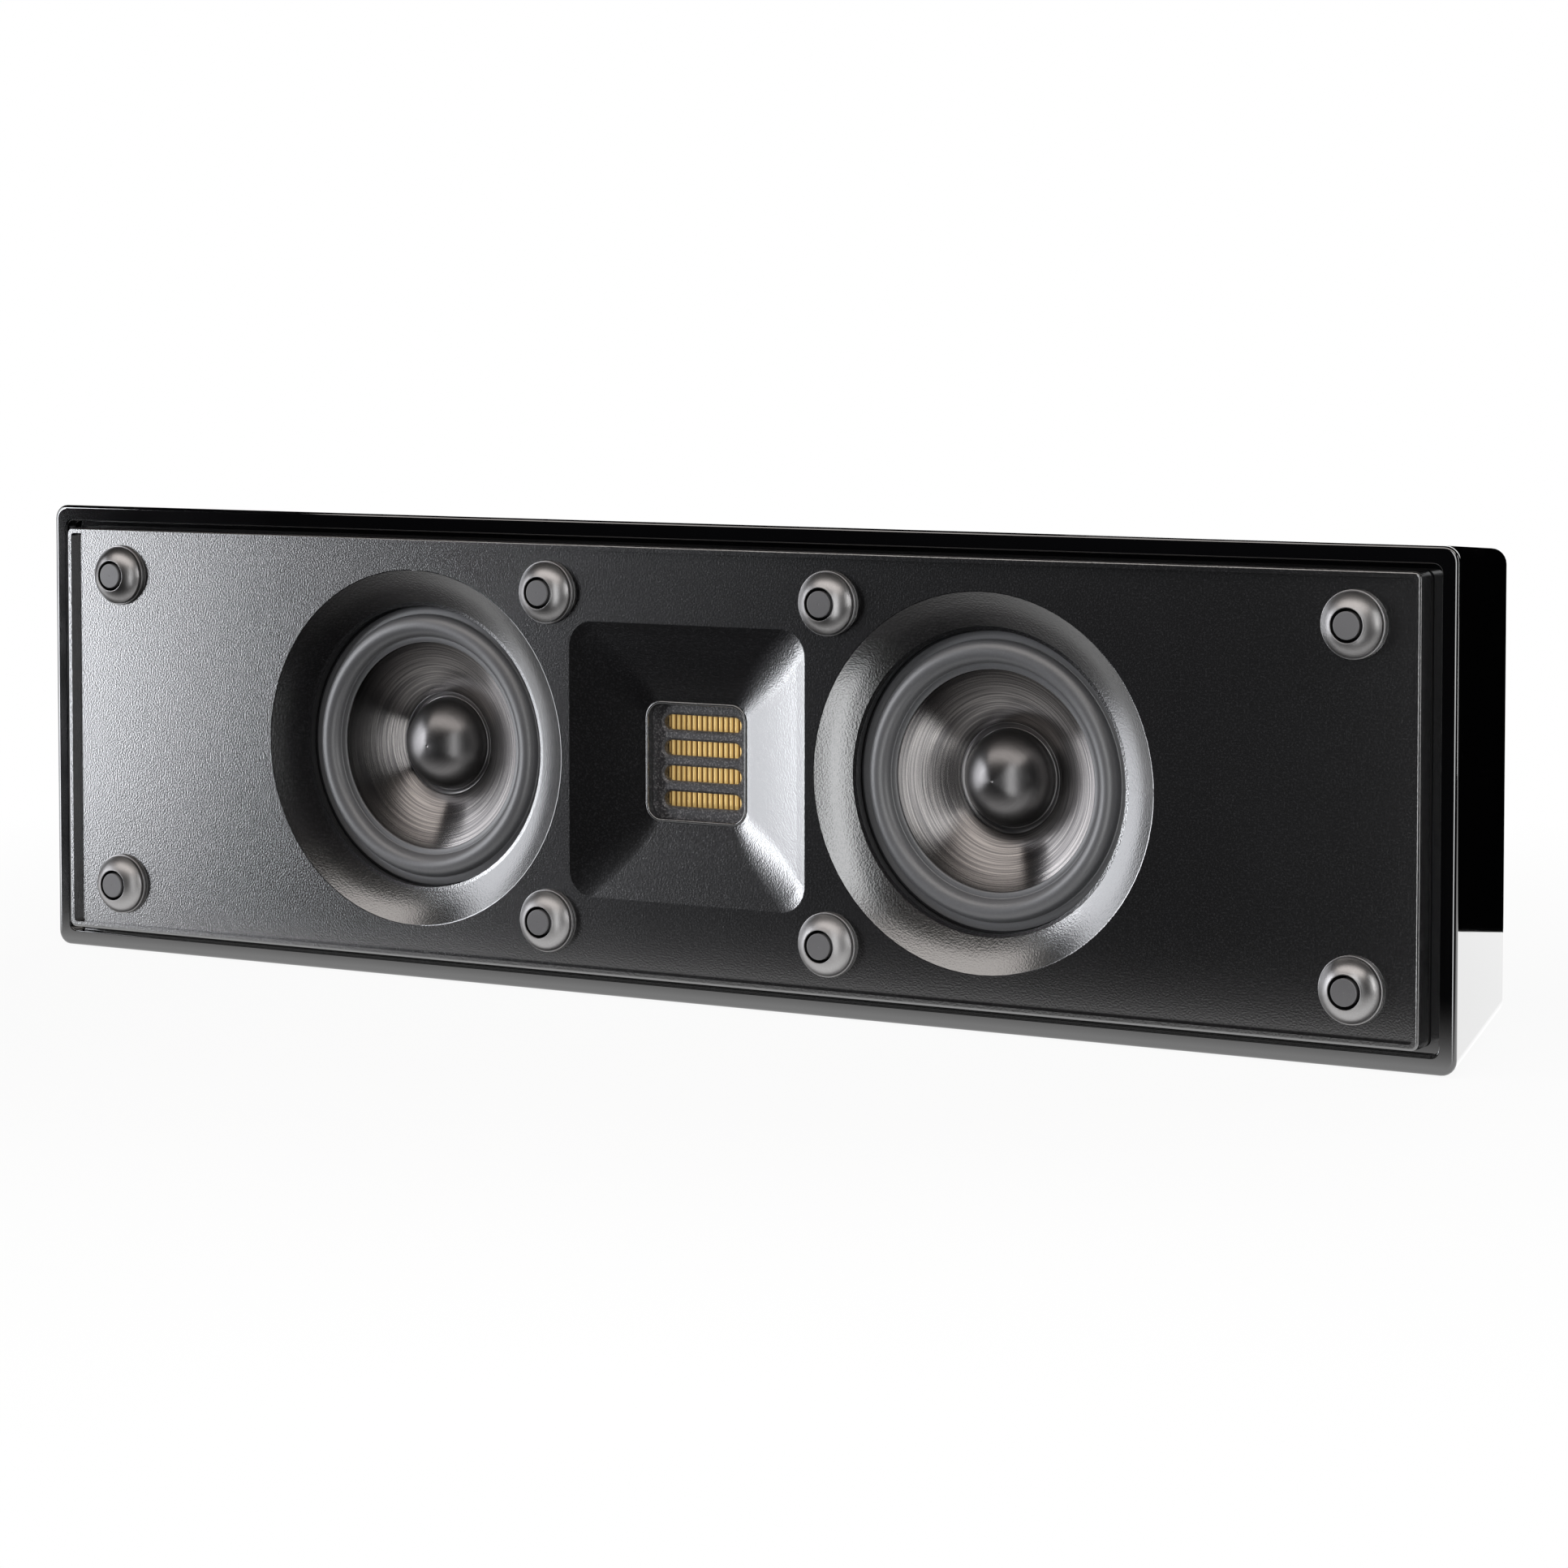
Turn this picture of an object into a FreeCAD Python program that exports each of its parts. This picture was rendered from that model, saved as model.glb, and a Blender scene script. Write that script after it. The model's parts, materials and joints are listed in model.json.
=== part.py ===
"""Slim centre loudspeaker: two cone woofers beside a folded-film tweeter in a tapered cabinet.

The frame has +X to the right seen from the front, +Y to the back and +Z up. The origin lies on the
shelf, under the middle of the part. All sizes are in millimetres and are kept in the sheet "dims".
"""
import FreeCAD
import Part
import Sketcher

import math
import os
import re

# Driving dimensions, one cell of the sheet each
DIMENSIONS = {
    # Cabinet
    "cabinet_width": 550.0,
    "cabinet_height": 162.0,
    "cabinet_depth": 90.0,
    "side_taper": 20.0,
    "height_taper": 5.5,
    "cabinet_corner_radius": 5.0,
    "wall_thickness": 14.0,
    "rim_band": 5.5,
    "rim_step": 4.0,
    "rim_corner_radius": 3.0,
    "rim_round": 1.0,
    "rear_round": 2.0,
    "rear_band": 8.0,
    "rear_panel_thickness": 9.0,
    "rear_panel_fit": 0.3,
    "rear_corner_radius": 4.0,
    # Shelf feet
    "front_edge_lift": 0.5,
    "foot_radius": 7.0,
    "foot_inset": 60.0,
    "front_foot_setback": 14.0,
    "rear_foot_setback": 76.0,
    # Front baffle
    "baffle_side_margin": 10.0,
    "baffle_edge_margin": 7.8,
    "baffle_corner_radius": 2.5,
    "baffle_proud": 5.3,
    "baffle_gasket_thickness": 1.0,
    "lip_width": 2.0,
    "lip_height": 2.6,
    "lip_round": 0.9,
    "ring_margin": 11.1,
    "ring_width": 12.7,
    "ring_depth": 6.0,
    "ring_bow": 60.0,
    "ring_seat": 4.0,
    "ring_land": 1.2,
    "ring_land_drop": 0.25,
    "ring_edge_round": 0.5,
    "ring_wall": 2.0,
    "horn_width": 93.0,
    "horn_margin": 26.2,
    "horn_corner_radius": 9.0,
    "horn_depth": 7.0,
    "horn_wall": 2.0,
    "horn_edge_round": 1.2,
    "throat_edge_round": 0.4,
    "throat_width": 39.0,
    "throat_height": 40.0,
    "throat_corner_radius": 5.5,
    # Grille studs, their magnets, screws and blocks
    "stud_side_inset": 23.0,
    "stud_inner_x": 55.5,
    "stud_edge_inset": 16.9,
    "stud_base_radius": 10.8,
    "stud_base_height": 1.3,
    "stud_groove_radius": 9.7,
    "stud_groove_height": 0.6,
    "stud_dome_radius": 10.3,
    "stud_height": 7.2,
    "stud_crown": 6.0,
    "stud_hole_radius": 5.2,
    "stud_hole_depth": 2.6,
    "stud_recess_radius": 5.2,
    "stud_recess_depth": 3.0,
    "magnet_disc_radius": 4.4,
    "magnet_disc_proud": 0.4,
    "magnet_disc_chamfer": 0.3,
    "baffle_screw_length": 20.0,
    "screw_hole_fit": 0.25,
    "pilot_fit": 0.05,
    "block_width": 18.0,
    "block_depth": 22.0,
    "block_reach": 20.0,
    # Screws: head and shank of the large and the small kind
    "large_head_radius": 4.2,
    "large_head_height": 2.4,
    "large_shank_radius": 2.0,
    "small_head_radius": 2.9,
    "small_head_height": 1.8,
    "small_shank_radius": 1.4,
    "head_crown_share": 0.7,
    "head_side_share": 0.4,
    "point_share": 0.4,
    # Woofers
    "woofer_spacing": 224.0,
    "driver_gasket": 0.8,
    "gasket_bore_margin": 0.8,
    "flange_margin": 1.6,
    "flange_bore_margin": 0.4,
    "basket_sheet": 1.5,
    "basket_slant_width": 1.8,
    "basket_shoulder_inset": 7.5,
    "basket_wall_run": 16.5,
    "basket_ledge_depth": 18.0,
    "basket_ledge_width": 6.5,
    "basket_depth": 30.2,
    "basket_bore_radius": 16.0,
    "basket_windows": 6,
    "window_inner_margin": 2.5,
    "window_outer_margin": 3.0,
    "window_inner_half_width": 9.2,
    "window_outer_half_width": 11.5,
    "bolt_inset": 4.0,
    "woofer_screw_length": 6.5,
    "surround_fit": 0.5,
    "surround_thickness": 0.8,
    "surround_land": 2.9,
    "roll_width": 7.6,
    "surround_lap": 2.1,
    "cone_thickness": 0.6,
    "cone_slant_depth": 0.8,
    "cone_depth": 15.0,
    "cone_rim_width": 1.9,
    "cone_glue": 0.05,
    "cap_radius": 16.4,
    "cap_height": 14.9,
    "cap_thickness": 0.5,
    "cap_flange_radius": 18.2,
    "coil_bore_radius": 12.6,
    "former_thickness": 0.4,
    "winding_thickness": 0.7,
    "winding_length": 8.0,
    "former_front": 14.6,
    "spider_thickness": 0.5,
    "spider_wave": 1.2,
    "spider_folds": 6,
    "spider_fit": 0.15,
    "top_plate_radius": 33.0,
    "top_plate_thickness": 5.0,
    "coil_gap": 0.5,
    "magnet_radius": 36.0,
    "magnet_bore_radius": 18.0,
    "magnet_thickness": 11.0,
    "yoke_radius": 33.0,
    "yoke_thickness": 5.0,
    "pole_gap": 0.4,
    "pole_vent_radius": 4.0,
    "tab_spacing": 10.0,
    "tab_length": 9.0,
    "tab_height": 5.0,
    "tab_thickness": 1.2,
    # Tweeter
    "tweeter_width": 64.0,
    "tweeter_gasket_thickness": 0.5,
    "front_plate_thickness": 3.0,
    "slot_length": 30.6,
    "slot_height": 5.2,
    "slot_pitch": 8.7,
    "slot_count": 4,
    "slot_chamfer": 0.8,
    "film_frame_thickness": 6.0,
    "film_window_width": 34.0,
    "film_window_height": 38.0,
    "film_pitch": 2.1,
    "film_depth": 4.0,
    "film_thickness": 0.3,
    "film_fit": 0.3,
    "bar_height": 3.0,
    "bar_thickness": 4.0,
    "bar_overhang": 5.0,
    "rear_plate_thickness": 2.0,
    "tweeter_cover_depth": 18.0,
    "tweeter_cover_wall": 2.0,
    "tweeter_cover_width": 48.0,
    "tweeter_screw_spacing": 54.0,
    "tweeter_screw_bite": 3.5,
    # Crossover
    "board_inset": 50.0,
    "board_width": 62.0,
    "board_height": 96.0,
    "board_thickness": 1.6,
    "standoff_radius": 3.5,
    "standoff_height": 6.0,
    "standoff_inset": 6.0,
    "board_screw_bite": 4.0,
    "coil_radius": 15.0,
    "coil_bore": 7.0,
    "coil_height": 13.0,
    "coil_spacing": 31.0,
    "part_margin": 2.0,
    "capacitor_radius": 7.0,
    "capacitor_length": 30.0,
    "capacitor_spacing": 16.0,
    "resistor_length": 22.0,
    "resistor_height": 9.0,
    "resistor_thickness": 8.0,
    # Terminal cup and binding posts
    "cup_width": 92.0,
    "cup_height": 66.0,
    "cup_corner_radius": 6.0,
    "cup_flange": 2.8,
    "cup_fit": 0.3,
    "cup_body_width": 70.0,
    "cup_body_height": 44.0,
    "cup_depth": 25.0,
    "cup_wall": 2.5,
    "cup_screw_inset": 6.0,
    "cup_screw_length": 8.0,
    "post_spacing": 28.0,
    "post_radius": 3.2,
    "post_fit": 0.2,
    "post_collar_radius": 6.5,
    "post_collar_height": 2.5,
    "post_tail": 9.0,
    "post_end_inset": 3.0,
    "post_bore_radius": 2.05,
    "washer_radius": 6.0,
    "washer_thickness": 1.0,
    "clamp_gap": 0.4,
    "knob_radius": 6.8,
    "knob_length": 11.0,
    "knob_chamfer": 1.0,
    "knob_flutes": 12,
    "knob_flute_radius": 0.9,
    "lock_nut_radius": 5.5,
    "lock_nut_thickness": 3.0,
    # Keyhole hangers
    "keyhole_inset": 85.0,
    "keyhole_plate_width": 22.0,
    "keyhole_plate_height": 54.0,
    "keyhole_plate_thickness": 1.6,
    "keyhole_entry_radius": 5.0,
    "keyhole_slot_radius": 2.6,
    "keyhole_drop": 11.0,
    "keyhole_well_depth": 6.0,
    "keyhole_well_width": 13.0,
    "keyhole_well_height": 27.0,
    "keyhole_screw_spacing": 42.0,
    "keyhole_screw_length": 6.5,
    "flush_head_sink": 0.2,
    # Wadding
    "wadding_inset": 50.0,
    "wadding_width": 60.0,
    "wadding_height": 100.0,
    "wadding_thickness": 24.0,
}

# Places and sizes that follow from the driving dimensions
DERIVED = {
    "half_width": "cabinet_width / 2",
    "half_height": "cabinet_height / 2",
    "back_half_width": "half_width - side_taper",
    "back_half_height": "half_height - height_taper",
    "middle_z": "front_edge_lift + half_height",
    "baffle_width": "cabinet_width - 2 * baffle_side_margin",
    "baffle_height": "cabinet_height - 2 * baffle_edge_margin",
    "ring_outer_radius": "baffle_height / 2 - ring_margin",
    "ring_inner_radius": "ring_outer_radius - ring_width",
    "horn_height": "baffle_height - 2 * horn_margin",
    "stud_outer_x": "baffle_width / 2 - stud_side_inset",
    "stud_z": "baffle_height / 2 - stud_edge_inset",
    "gasket_bore_radius": "ring_inner_radius + gasket_bore_margin",
    "flange_radius": "ring_outer_radius - flange_margin",
    "flange_bore_radius": "roll_outer_radius - flange_bore_margin",
    "basket_shoulder_radius": "flange_radius - basket_shoulder_inset",
    "basket_ledge_radius": "basket_shoulder_radius - basket_wall_run",
    "basket_cup_radius": "basket_ledge_radius - basket_ledge_width",
    "window_inner_radius": "basket_ledge_radius + window_inner_margin",
    "window_outer_radius": "basket_shoulder_radius - window_outer_margin",
    "bolt_circle_radius": "flange_radius - bolt_inset",
    "surround_outer_radius": "ring_inner_radius - surround_fit",
    "roll_outer_radius": "surround_outer_radius - surround_land",
    "roll_inner_radius": "roll_outer_radius - roll_width",
    "surround_inner_radius": "roll_inner_radius - surround_lap",
    "cone_edge_radius": "roll_inner_radius - cone_rim_width",
    "keyhole_x": "back_half_width - keyhole_inset",
    "board_x": "back_half_width - board_inset",
    "wadding_x": "back_half_width - wadding_inset",
    "front_reach": "baffle_proud - lip_height + stud_height - stud_hole_depth + magnet_disc_height",
    "magnet_disc_height": "stud_hole_depth + magnet_disc_proud",
    "rim_y": "(front_reach - cabinet_depth) / 2",
    "back_y": "rim_y + cabinet_depth",
    "panel_y": "rim_y - baffle_proud + lip_height",
    "panel_thickness": "baffle_proud - lip_height + rim_step - baffle_gasket_thickness",
    "ledge_y": "rim_y + rim_step",
    "woofer_x": "woofer_spacing / 2",
    "seat_depth": "ring_depth + ring_seat",
    "driver_y": "panel_y + seat_depth + driver_gasket",
    "horn_seat": "horn_depth + 3 * horn_wall / 2",
    "coil_radius_inner": "coil_bore_radius + former_thickness",
    "coil_radius_outer": "coil_radius_inner + winding_thickness",
    "neck_radius": "coil_radius_inner + cone_glue",
    "top_plate_depth": "basket_depth + top_plate_thickness",
    "magnet_depth": "top_plate_depth + magnet_thickness",
    "winding_middle": "basket_depth + top_plate_thickness / 2",
    "cone_slope": "cone_depth / (cone_edge_radius - neck_radius)",
    "cap_seat": "(cone_edge_radius - cap_radius) * cone_slope - cone_glue",
    "cap_inner_seat": "cap_seat + cap_thickness * cone_slope",
    "cap_flange_seat": "(cone_edge_radius - cap_flange_radius) * cone_slope - cone_glue",
    "cap_foot": "cap_seat - cap_thickness",
    "film_y": "plate_back_y + film_frame_thickness / 2",
    "plate_front_y": "panel_y + horn_seat + tweeter_gasket_thickness",
    "plate_back_y": "plate_front_y + front_plate_thickness",
    "frame_back_y": "plate_back_y + film_frame_thickness",
    "bars_back_y": "frame_back_y + bar_thickness",
    "cover_front_y": "bars_back_y + rear_plate_thickness",
    "board_y": "back_y - rear_panel_thickness - standoff_height",
    "cup_floor": "cup_depth - cup_wall",
    "post_bore_depth": "cup_floor - post_end_inset - post_collar_height",
    "washer_y": "back_y - cup_floor + post_collar_height + clamp_gap",
    "knob_y": "washer_y + washer_thickness",
}

doc = FreeCAD.newDocument("centre_speaker")
sheet = doc.addObject("Spreadsheet::Sheet", "dims")
for row, (alias, value) in enumerate(DIMENSIONS.items(), start=1):
    sheet.set(f"A{row}", alias.replace("_", " "))
    sheet.set(f"B{row}", str(value))
    sheet.setAlias(f"B{row}", alias)
doc.recompute()

subparts = []


def bind(text):
    """Spell out an expression: derived names are expanded and driving ones refer to the sheet."""
    def expand(match):
        word = match.group()
        if word in DERIVED:
            return f"({bind(DERIVED[word])})"
        return f"dims.{word}" if word in DIMENSIONS else word
    return re.sub(r"[a-z][a-z_]+", expand, str(text))


def size(text):
    """The present value of an expression."""
    return float(sheet.evalExpression(bind(text)))


def count(name):
    """A whole number from the sheet."""
    return int(round(size(name)))


def tie(obj, **properties):
    """Bind properties of an object to expressions."""
    for name, text in properties.items():
        obj.setExpression(name, bind(text))


def place(obj, x="0", y="0", z="0", turn=None):
    """Bind an object's position, and turn it about an axis by an angle in degrees."""
    if turn:
        axis, angle = turn
        obj.Placement = FreeCAD.Placement(FreeCAD.Vector(), FreeCAD.Rotation(FreeCAD.Vector(*axis), angle))
    for name, text in zip("xyz", (x, y, z)):
        obj.setExpression(f"Placement.Base.{name}", bind(text))
    return obj


def keep(obj, label):
    """Name an object and list it among the sub-parts that are written."""
    obj.Label = label
    subparts.append(obj)
    return obj


# Sketches and bodies

X_AXIS, Y_AXIS, Z_AXIS = (1, 0, 0), (0, 1, 0), (0, 0, 1)


def origin_feature(body, role):
    """The plane or axis of a body's origin that has the given role."""
    return next(item for item in body.Origin.OriginFeatures if item.Role == role)


def new_body(name):
    """An empty PartDesign body."""
    return doc.addObject("PartDesign::Body", name)


def pin_coordinate(sketch, kind, geometry, position, text):
    """Hold one coordinate of a sketch point at an expression."""
    value = size(text)
    if abs(value) < 1e-9:
        axis = -2 if kind == "DistanceX" else -1
        sketch.addConstraint(Sketcher.Constraint("PointOnObject", geometry, position, axis))
        return
    if value > 0:
        constraint = Sketcher.Constraint(kind, -1, 1, geometry, position, value)
        expression = bind(text)
    else:
        constraint = Sketcher.Constraint(kind, geometry, position, -1, 1, -value)
        expression = f"-({bind(text)})"
    index = sketch.addConstraint(constraint)
    sketch.setExpression(f"Constraints[{index}]", expression)


def arc_between(start, end, radius, side):
    """The arc of a radius from start to end whose centre lies left (1) or right (-1) of the chord."""
    chord = end - start
    middle = (start + end) * 0.5
    normal = FreeCAD.Vector(-chord.y, chord.x, 0).normalize()
    rise = math.sqrt(max(radius ** 2 - (chord.Length / 2) ** 2, 0.0))
    centre = middle + normal * (rise * side)
    angles = [math.atan2(p.y - centre.y, p.x - centre.x) for p in (start, end)]
    if side < 0:
        angles.reverse()
    return Part.ArcOfCircle(Part.Circle(centre, FreeCAD.Vector(0, 0, 1), radius), *angles)


def outline(sketch, points, arcs=None):
    """Draw a closed outline through points given as expressions.

    arcs maps the number of a side to (radius, 1 or -1), or to (None, 1 or -1) for a half circle.
    """
    arcs = arcs or {}
    spots = [FreeCAD.Vector(size(x), size(y), 0) for x, y in points]
    total = len(spots)
    first = sketch.GeometryCount
    ends = []
    for i, start in enumerate(spots):
        end = spots[(i + 1) % total]
        if i in arcs:
            radius, side = arcs[i]
            reach = (end - start).Length / 2 if radius is None else size(radius)
            sketch.addGeometry(arc_between(start, end, reach, side), False)
            ends.append((1, 2) if side > 0 else (2, 1))
        else:
            sketch.addGeometry(Part.LineSegment(start, end), False)
            ends.append((1, 2))
    for i in range(total):
        j = (i + 1) % total
        sketch.addConstraint(Sketcher.Constraint("Coincident", first + i, ends[i][1], first + j, ends[j][0]))
    for i, (x, y) in enumerate(points):
        pin_coordinate(sketch, "DistanceX", first + i, ends[i][0], x)
        pin_coordinate(sketch, "DistanceY", first + i, ends[i][0], y)
        if i in arcs and arcs[i][0] is None:
            pin_coordinate(sketch, "DistanceY", first + i, 3, y)
        elif i in arcs:
            index = sketch.addConstraint(Sketcher.Constraint("Radius", first + i, size(arcs[i][0])))
            sketch.setExpression(f"Constraints[{index}]", bind(arcs[i][0]))


def circle(sketch, x, y, radius):
    """Draw a circle whose centre and radius are expressions."""
    centre = FreeCAD.Vector(size(x), size(y), 0)
    number = sketch.addGeometry(Part.Circle(centre, FreeCAD.Vector(0, 0, 1), size(radius)), False)
    pin_coordinate(sketch, "DistanceX", number, 3, x)
    pin_coordinate(sketch, "DistanceY", number, 3, y)
    index = sketch.addConstraint(Sketcher.Constraint("Radius", number, size(radius)))
    sketch.setExpression(f"Constraints[{index}]", bind(radius))


def rounded_rectangle(sketch, width, height, radius, x="0", y="0"):
    """Draw a rectangle with round corners about a centre."""
    radius = f"({radius})"
    right, top = f"({x}) + ({width}) / 2", f"({y}) + ({height}) / 2"
    left, bottom = f"({x}) - ({width}) / 2", f"({y}) - ({height}) / 2"
    points = [
        (f"{left} + {radius}", bottom), (f"{right} - {radius}", bottom),
        (right, f"{bottom} + {radius}"), (right, f"{top} - {radius}"),
        (f"{right} - {radius}", top), (f"{left} + {radius}", top),
        (left, f"{top} - {radius}"), (left, f"{bottom} + {radius}"),
    ]
    outline(sketch, points, {i: (radius, 1) for i in (1, 3, 5, 7)})


def stadium(sketch, length, height, y="0"):
    """Draw a slot with half-round ends, lying along the sketch's horizontal axis."""
    reach, half = f"(({length}) - ({height})) / 2", f"({height}) / 2"
    points = [
        (f"-{reach}", f"{y} - {half}"), (reach, f"{y} - {half}"),
        (reach, f"{y} + {half}"), (f"-{reach}", f"{y} + {half}"),
    ]
    outline(sketch, points, {1: (half, 1), 3: (half, 1)})


def new_sketch(body, role, offset="0", shift_x="0"):
    """A sketch on one of a body's own planes, moved along the plane's normal or sideways."""
    sketch = body.newObject("Sketcher::SketchObject", "sketch")
    sketch.AttachmentSupport = [(origin_feature(body, role), "")]
    sketch.MapMode = "FlatFace"
    sketch.setExpression("AttachmentOffset.Base.z", bind(offset))
    sketch.setExpression("AttachmentOffset.Base.x", bind(shift_x))
    doc.recompute()
    return sketch


def front_sketch(body, y="0"):
    """A sketch seen from the front, X across and Z up, at a depth of the body."""
    return new_sketch(body, "XZ_Plane", f"-({y})")


def extrude(body, kind, sketch, length, backwards=True):
    """Pad or pocket a front sketch by a length, to the back unless told otherwise."""
    feature = body.newObject(kind, "feature")
    feature.Profile = sketch
    feature.Reversed = backwards == (kind == "PartDesign::Pad")
    tie(feature, Length=length)
    return settle(body, feature)


def pad(body, sketch, length, backwards=True):
    """Add material behind a front sketch, or before it."""
    return extrude(body, "PartDesign::Pad", sketch, length, backwards)


def pocket(body, sketch, length, backwards=True):
    """Cut material behind a front sketch, or before it."""
    before = body.Shape.Volume
    feature = extrude(body, "PartDesign::Pocket", sketch, length, backwards)
    if body.Shape.Volume > before - 1e-6:
        raise RuntimeError(f"{body.Name}: a pocket cut nothing")
    return feature


def spin(body, kind, sketch):
    """Revolve a sketch about its own vertical axis, to add or to cut."""
    feature = body.newObject(kind, "feature")
    feature.Profile = sketch
    feature.ReferenceAxis = (sketch, ["V_Axis"])
    feature.Angle = 360.0
    return settle(body, feature)


def loft(body, kind, front, *others):
    """Join front sketches one behind the other by straight walls, to add or to cut."""
    feature = body.newObject(kind, "feature")
    feature.Profile = front
    feature.Sections = list(others)
    feature.Ruled = True
    return settle(body, feature)


def mirrored(body, features):
    """Repeat features on the other side of the body's middle plane."""
    feature = body.newObject("PartDesign::Mirrored", "feature")
    feature.Originals = features
    feature.MirrorPlane = (origin_feature(body, "YZ_Plane"), [""])
    return settle(body, feature)


def polar(body, features, copies):
    """Repeat features round the body's depth axis."""
    feature = body.newObject("PartDesign::PolarPattern", "feature")
    feature.Originals = features
    feature.Axis = (origin_feature(body, "Y_Axis"), [""])
    feature.Angle = 360.0
    tie(feature, Occurrences=copies)
    return settle(body, feature)


def round_edges(body, base, wanted, radius):
    """Fillet the edges of a feature that a test picks out."""
    names = [f"Edge{i}" for i, edge in enumerate(base.Shape.Edges, start=1) if wanted(edge)]
    if not names:
        raise RuntimeError(f"{body.Name}: no edge to round")
    feature = body.newObject("PartDesign::Fillet", "feature")
    feature.Base = (base, names)
    tie(feature, Radius=radius)
    return settle(body, feature)


def settle(body, feature):
    """Make a feature the body's tip and bring the model up to date."""
    body.Tip = feature
    doc.recompute()
    return feature


def at_depth(edge, y):
    """Whether all of an edge lies at one depth of its body."""
    return all(abs(vertex.Y - y) < 1e-4 for vertex in edge.Vertexes)


def is_round(edge, radius):
    """Whether an edge is an arc or circle of one radius."""
    return hasattr(edge.Curve, "Radius") and abs(edge.Curve.Radius - radius) < 1e-4


def within(edge, reach):
    """Whether all of an edge lies within a reach from the middle, to either side."""
    return all(abs(vertex.X) < reach + 1e-4 for vertex in edge.Vertexes)


def turned(name, points, arcs=None):
    """A body turned about the depth axis from (radius, depth) points."""
    body = new_body(name)
    sketch = new_sketch(body, "XY_Plane")
    outline(sketch, points, arcs)
    spin(body, "PartDesign::Revolution", sketch)
    return body


def copies(label, master, spots, turn=None):
    """One sub-part made of copies of a master piece at several places."""
    links = []
    for x, y, z in spots:
        link = doc.addObject("App::Link", f"{label}_copy")
        link.LinkedObject = master
        links.append(place(link, x, y, z, turn))
    group = doc.addObject("Part::Compound", label)
    group.Links = links
    return keep(group, label)


def box(name, width, depth, height, x, y, z):
    """A block centred in X and Z, with its front face at y."""
    block = doc.addObject("Part::Box", name)
    tie(block, Length=width, Width=depth, Height=height)
    return place(block, f"{x} - ({width}) / 2", y, f"{z} - ({height}) / 2")


def rod(name, radius, length, x, y, z, turn=(X_AXIS, -90)):
    """A cylinder that runs to the back from y, unless it is turned another way."""
    cylinder = doc.addObject("Part::Cylinder", name)
    tie(cylinder, Radius=radius, Height=length)
    return place(cylinder, x, y, z, turn)


def cut(name, base, tool):
    """One shape with another taken away."""
    result = doc.addObject("Part::Cut", name)
    result.Base = base
    result.Tool = tool
    return result


def compound(name, pieces):
    """Several shapes as one object."""
    group = doc.addObject("Part::Compound", name)
    group.Links = pieces
    return group


def screw(name, head_radius, head_height, shank_radius, length):
    """A pan-head screw with its head's underside at depth 0 and its point to the back."""
    return turned(name, [
        ("0", f"-{head_height}"), (f"{head_radius} * head_crown_share", f"-{head_height}"),
        (head_radius, f"-{head_height} * head_side_share"), (head_radius, "0"), (shank_radius, "0"),
        (shank_radius, f"{length} - {shank_radius}"), (f"{shank_radius} * point_share", length),
        ("0", length),
    ])


SIDES = {"left": "-1", "right": "1"}
FOUR_CORNERS = [(-1, -1), (1, -1), (1, 1), (-1, 1)]


def stud_grid():
    """The eight places of the grille studs: X, and 1 for the upper row or -1 for the lower one."""
    columns = ("-stud_outer_x", "-stud_inner_x", "stud_inner_x", "stud_outer_x")
    return [(x, row) for row in (1, -1) for x in columns]


def stud_spots(y):
    """The eight places of the grille studs, at a depth."""
    return [(x, y, f"middle_z + {row} * stud_z") for x, row in stud_grid()]


# Cabinet

def make_cabinet_shell():
    """Tapered wrap: lofted walls with a stepped front opening and a rebate for the rear panel."""
    body = new_body("cabinet_shell")
    ease = "(1 - cos(45 deg))"
    taper = "cabinet_depth - rim_round"
    steps = [("0", "rim_round", "0"), (f"rim_round * {ease}", f"rim_round * {ease}", "0"),
             ("rim_round", "0", "0"), ("cabinet_depth - rear_round", "0", f"1 - rear_round / ({taper})"),
             (f"cabinet_depth - rear_round * {ease}", f"rear_round * {ease}",
              f"1 - rear_round * {ease} / ({taper})"),
             ("cabinet_depth", "rear_round", "1")]
    sections = []
    for depth, inset, share in steps:
        section = front_sketch(body, depth)
        rounded_rectangle(section, f"cabinet_width - 2 * side_taper * ({share}) - 2 * ({inset})",
                          f"cabinet_height - 2 * height_taper * ({share}) - 2 * ({inset})",
                          f"cabinet_corner_radius - ({inset})")
        sections.append(section)
    loft(body, "PartDesign::AdditiveLoft", *sections)
    front, back = front_sketch(body), front_sketch(body, "cabinet_depth")
    inner = "- 2 * wall_thickness"
    rounded_rectangle(front, f"cabinet_width {inner}", f"cabinet_height {inner}", "rim_corner_radius")
    rounded_rectangle(back, f"2 * back_half_width {inner}", f"2 * back_half_height {inner}",
                      "rim_corner_radius")
    loft(body, "PartDesign::SubtractiveLoft", front, back)
    step = front_sketch(body)
    rounded_rectangle(step, "cabinet_width - 2 * rim_band", "cabinet_height - 2 * rim_band",
                      "rim_corner_radius")
    pocket(body, step, "rim_step")
    rebate = front_sketch(body, "cabinet_depth - rear_panel_thickness")
    rounded_rectangle(rebate, "2 * back_half_width - 2 * rear_band", "2 * back_half_height - 2 * rear_band",
                      "rear_corner_radius")
    pocket(body, rebate, "rear_panel_thickness")
    place(body, "0", "rim_y", "middle_z")
    return keep(body, "cabinet_shell")


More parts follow.
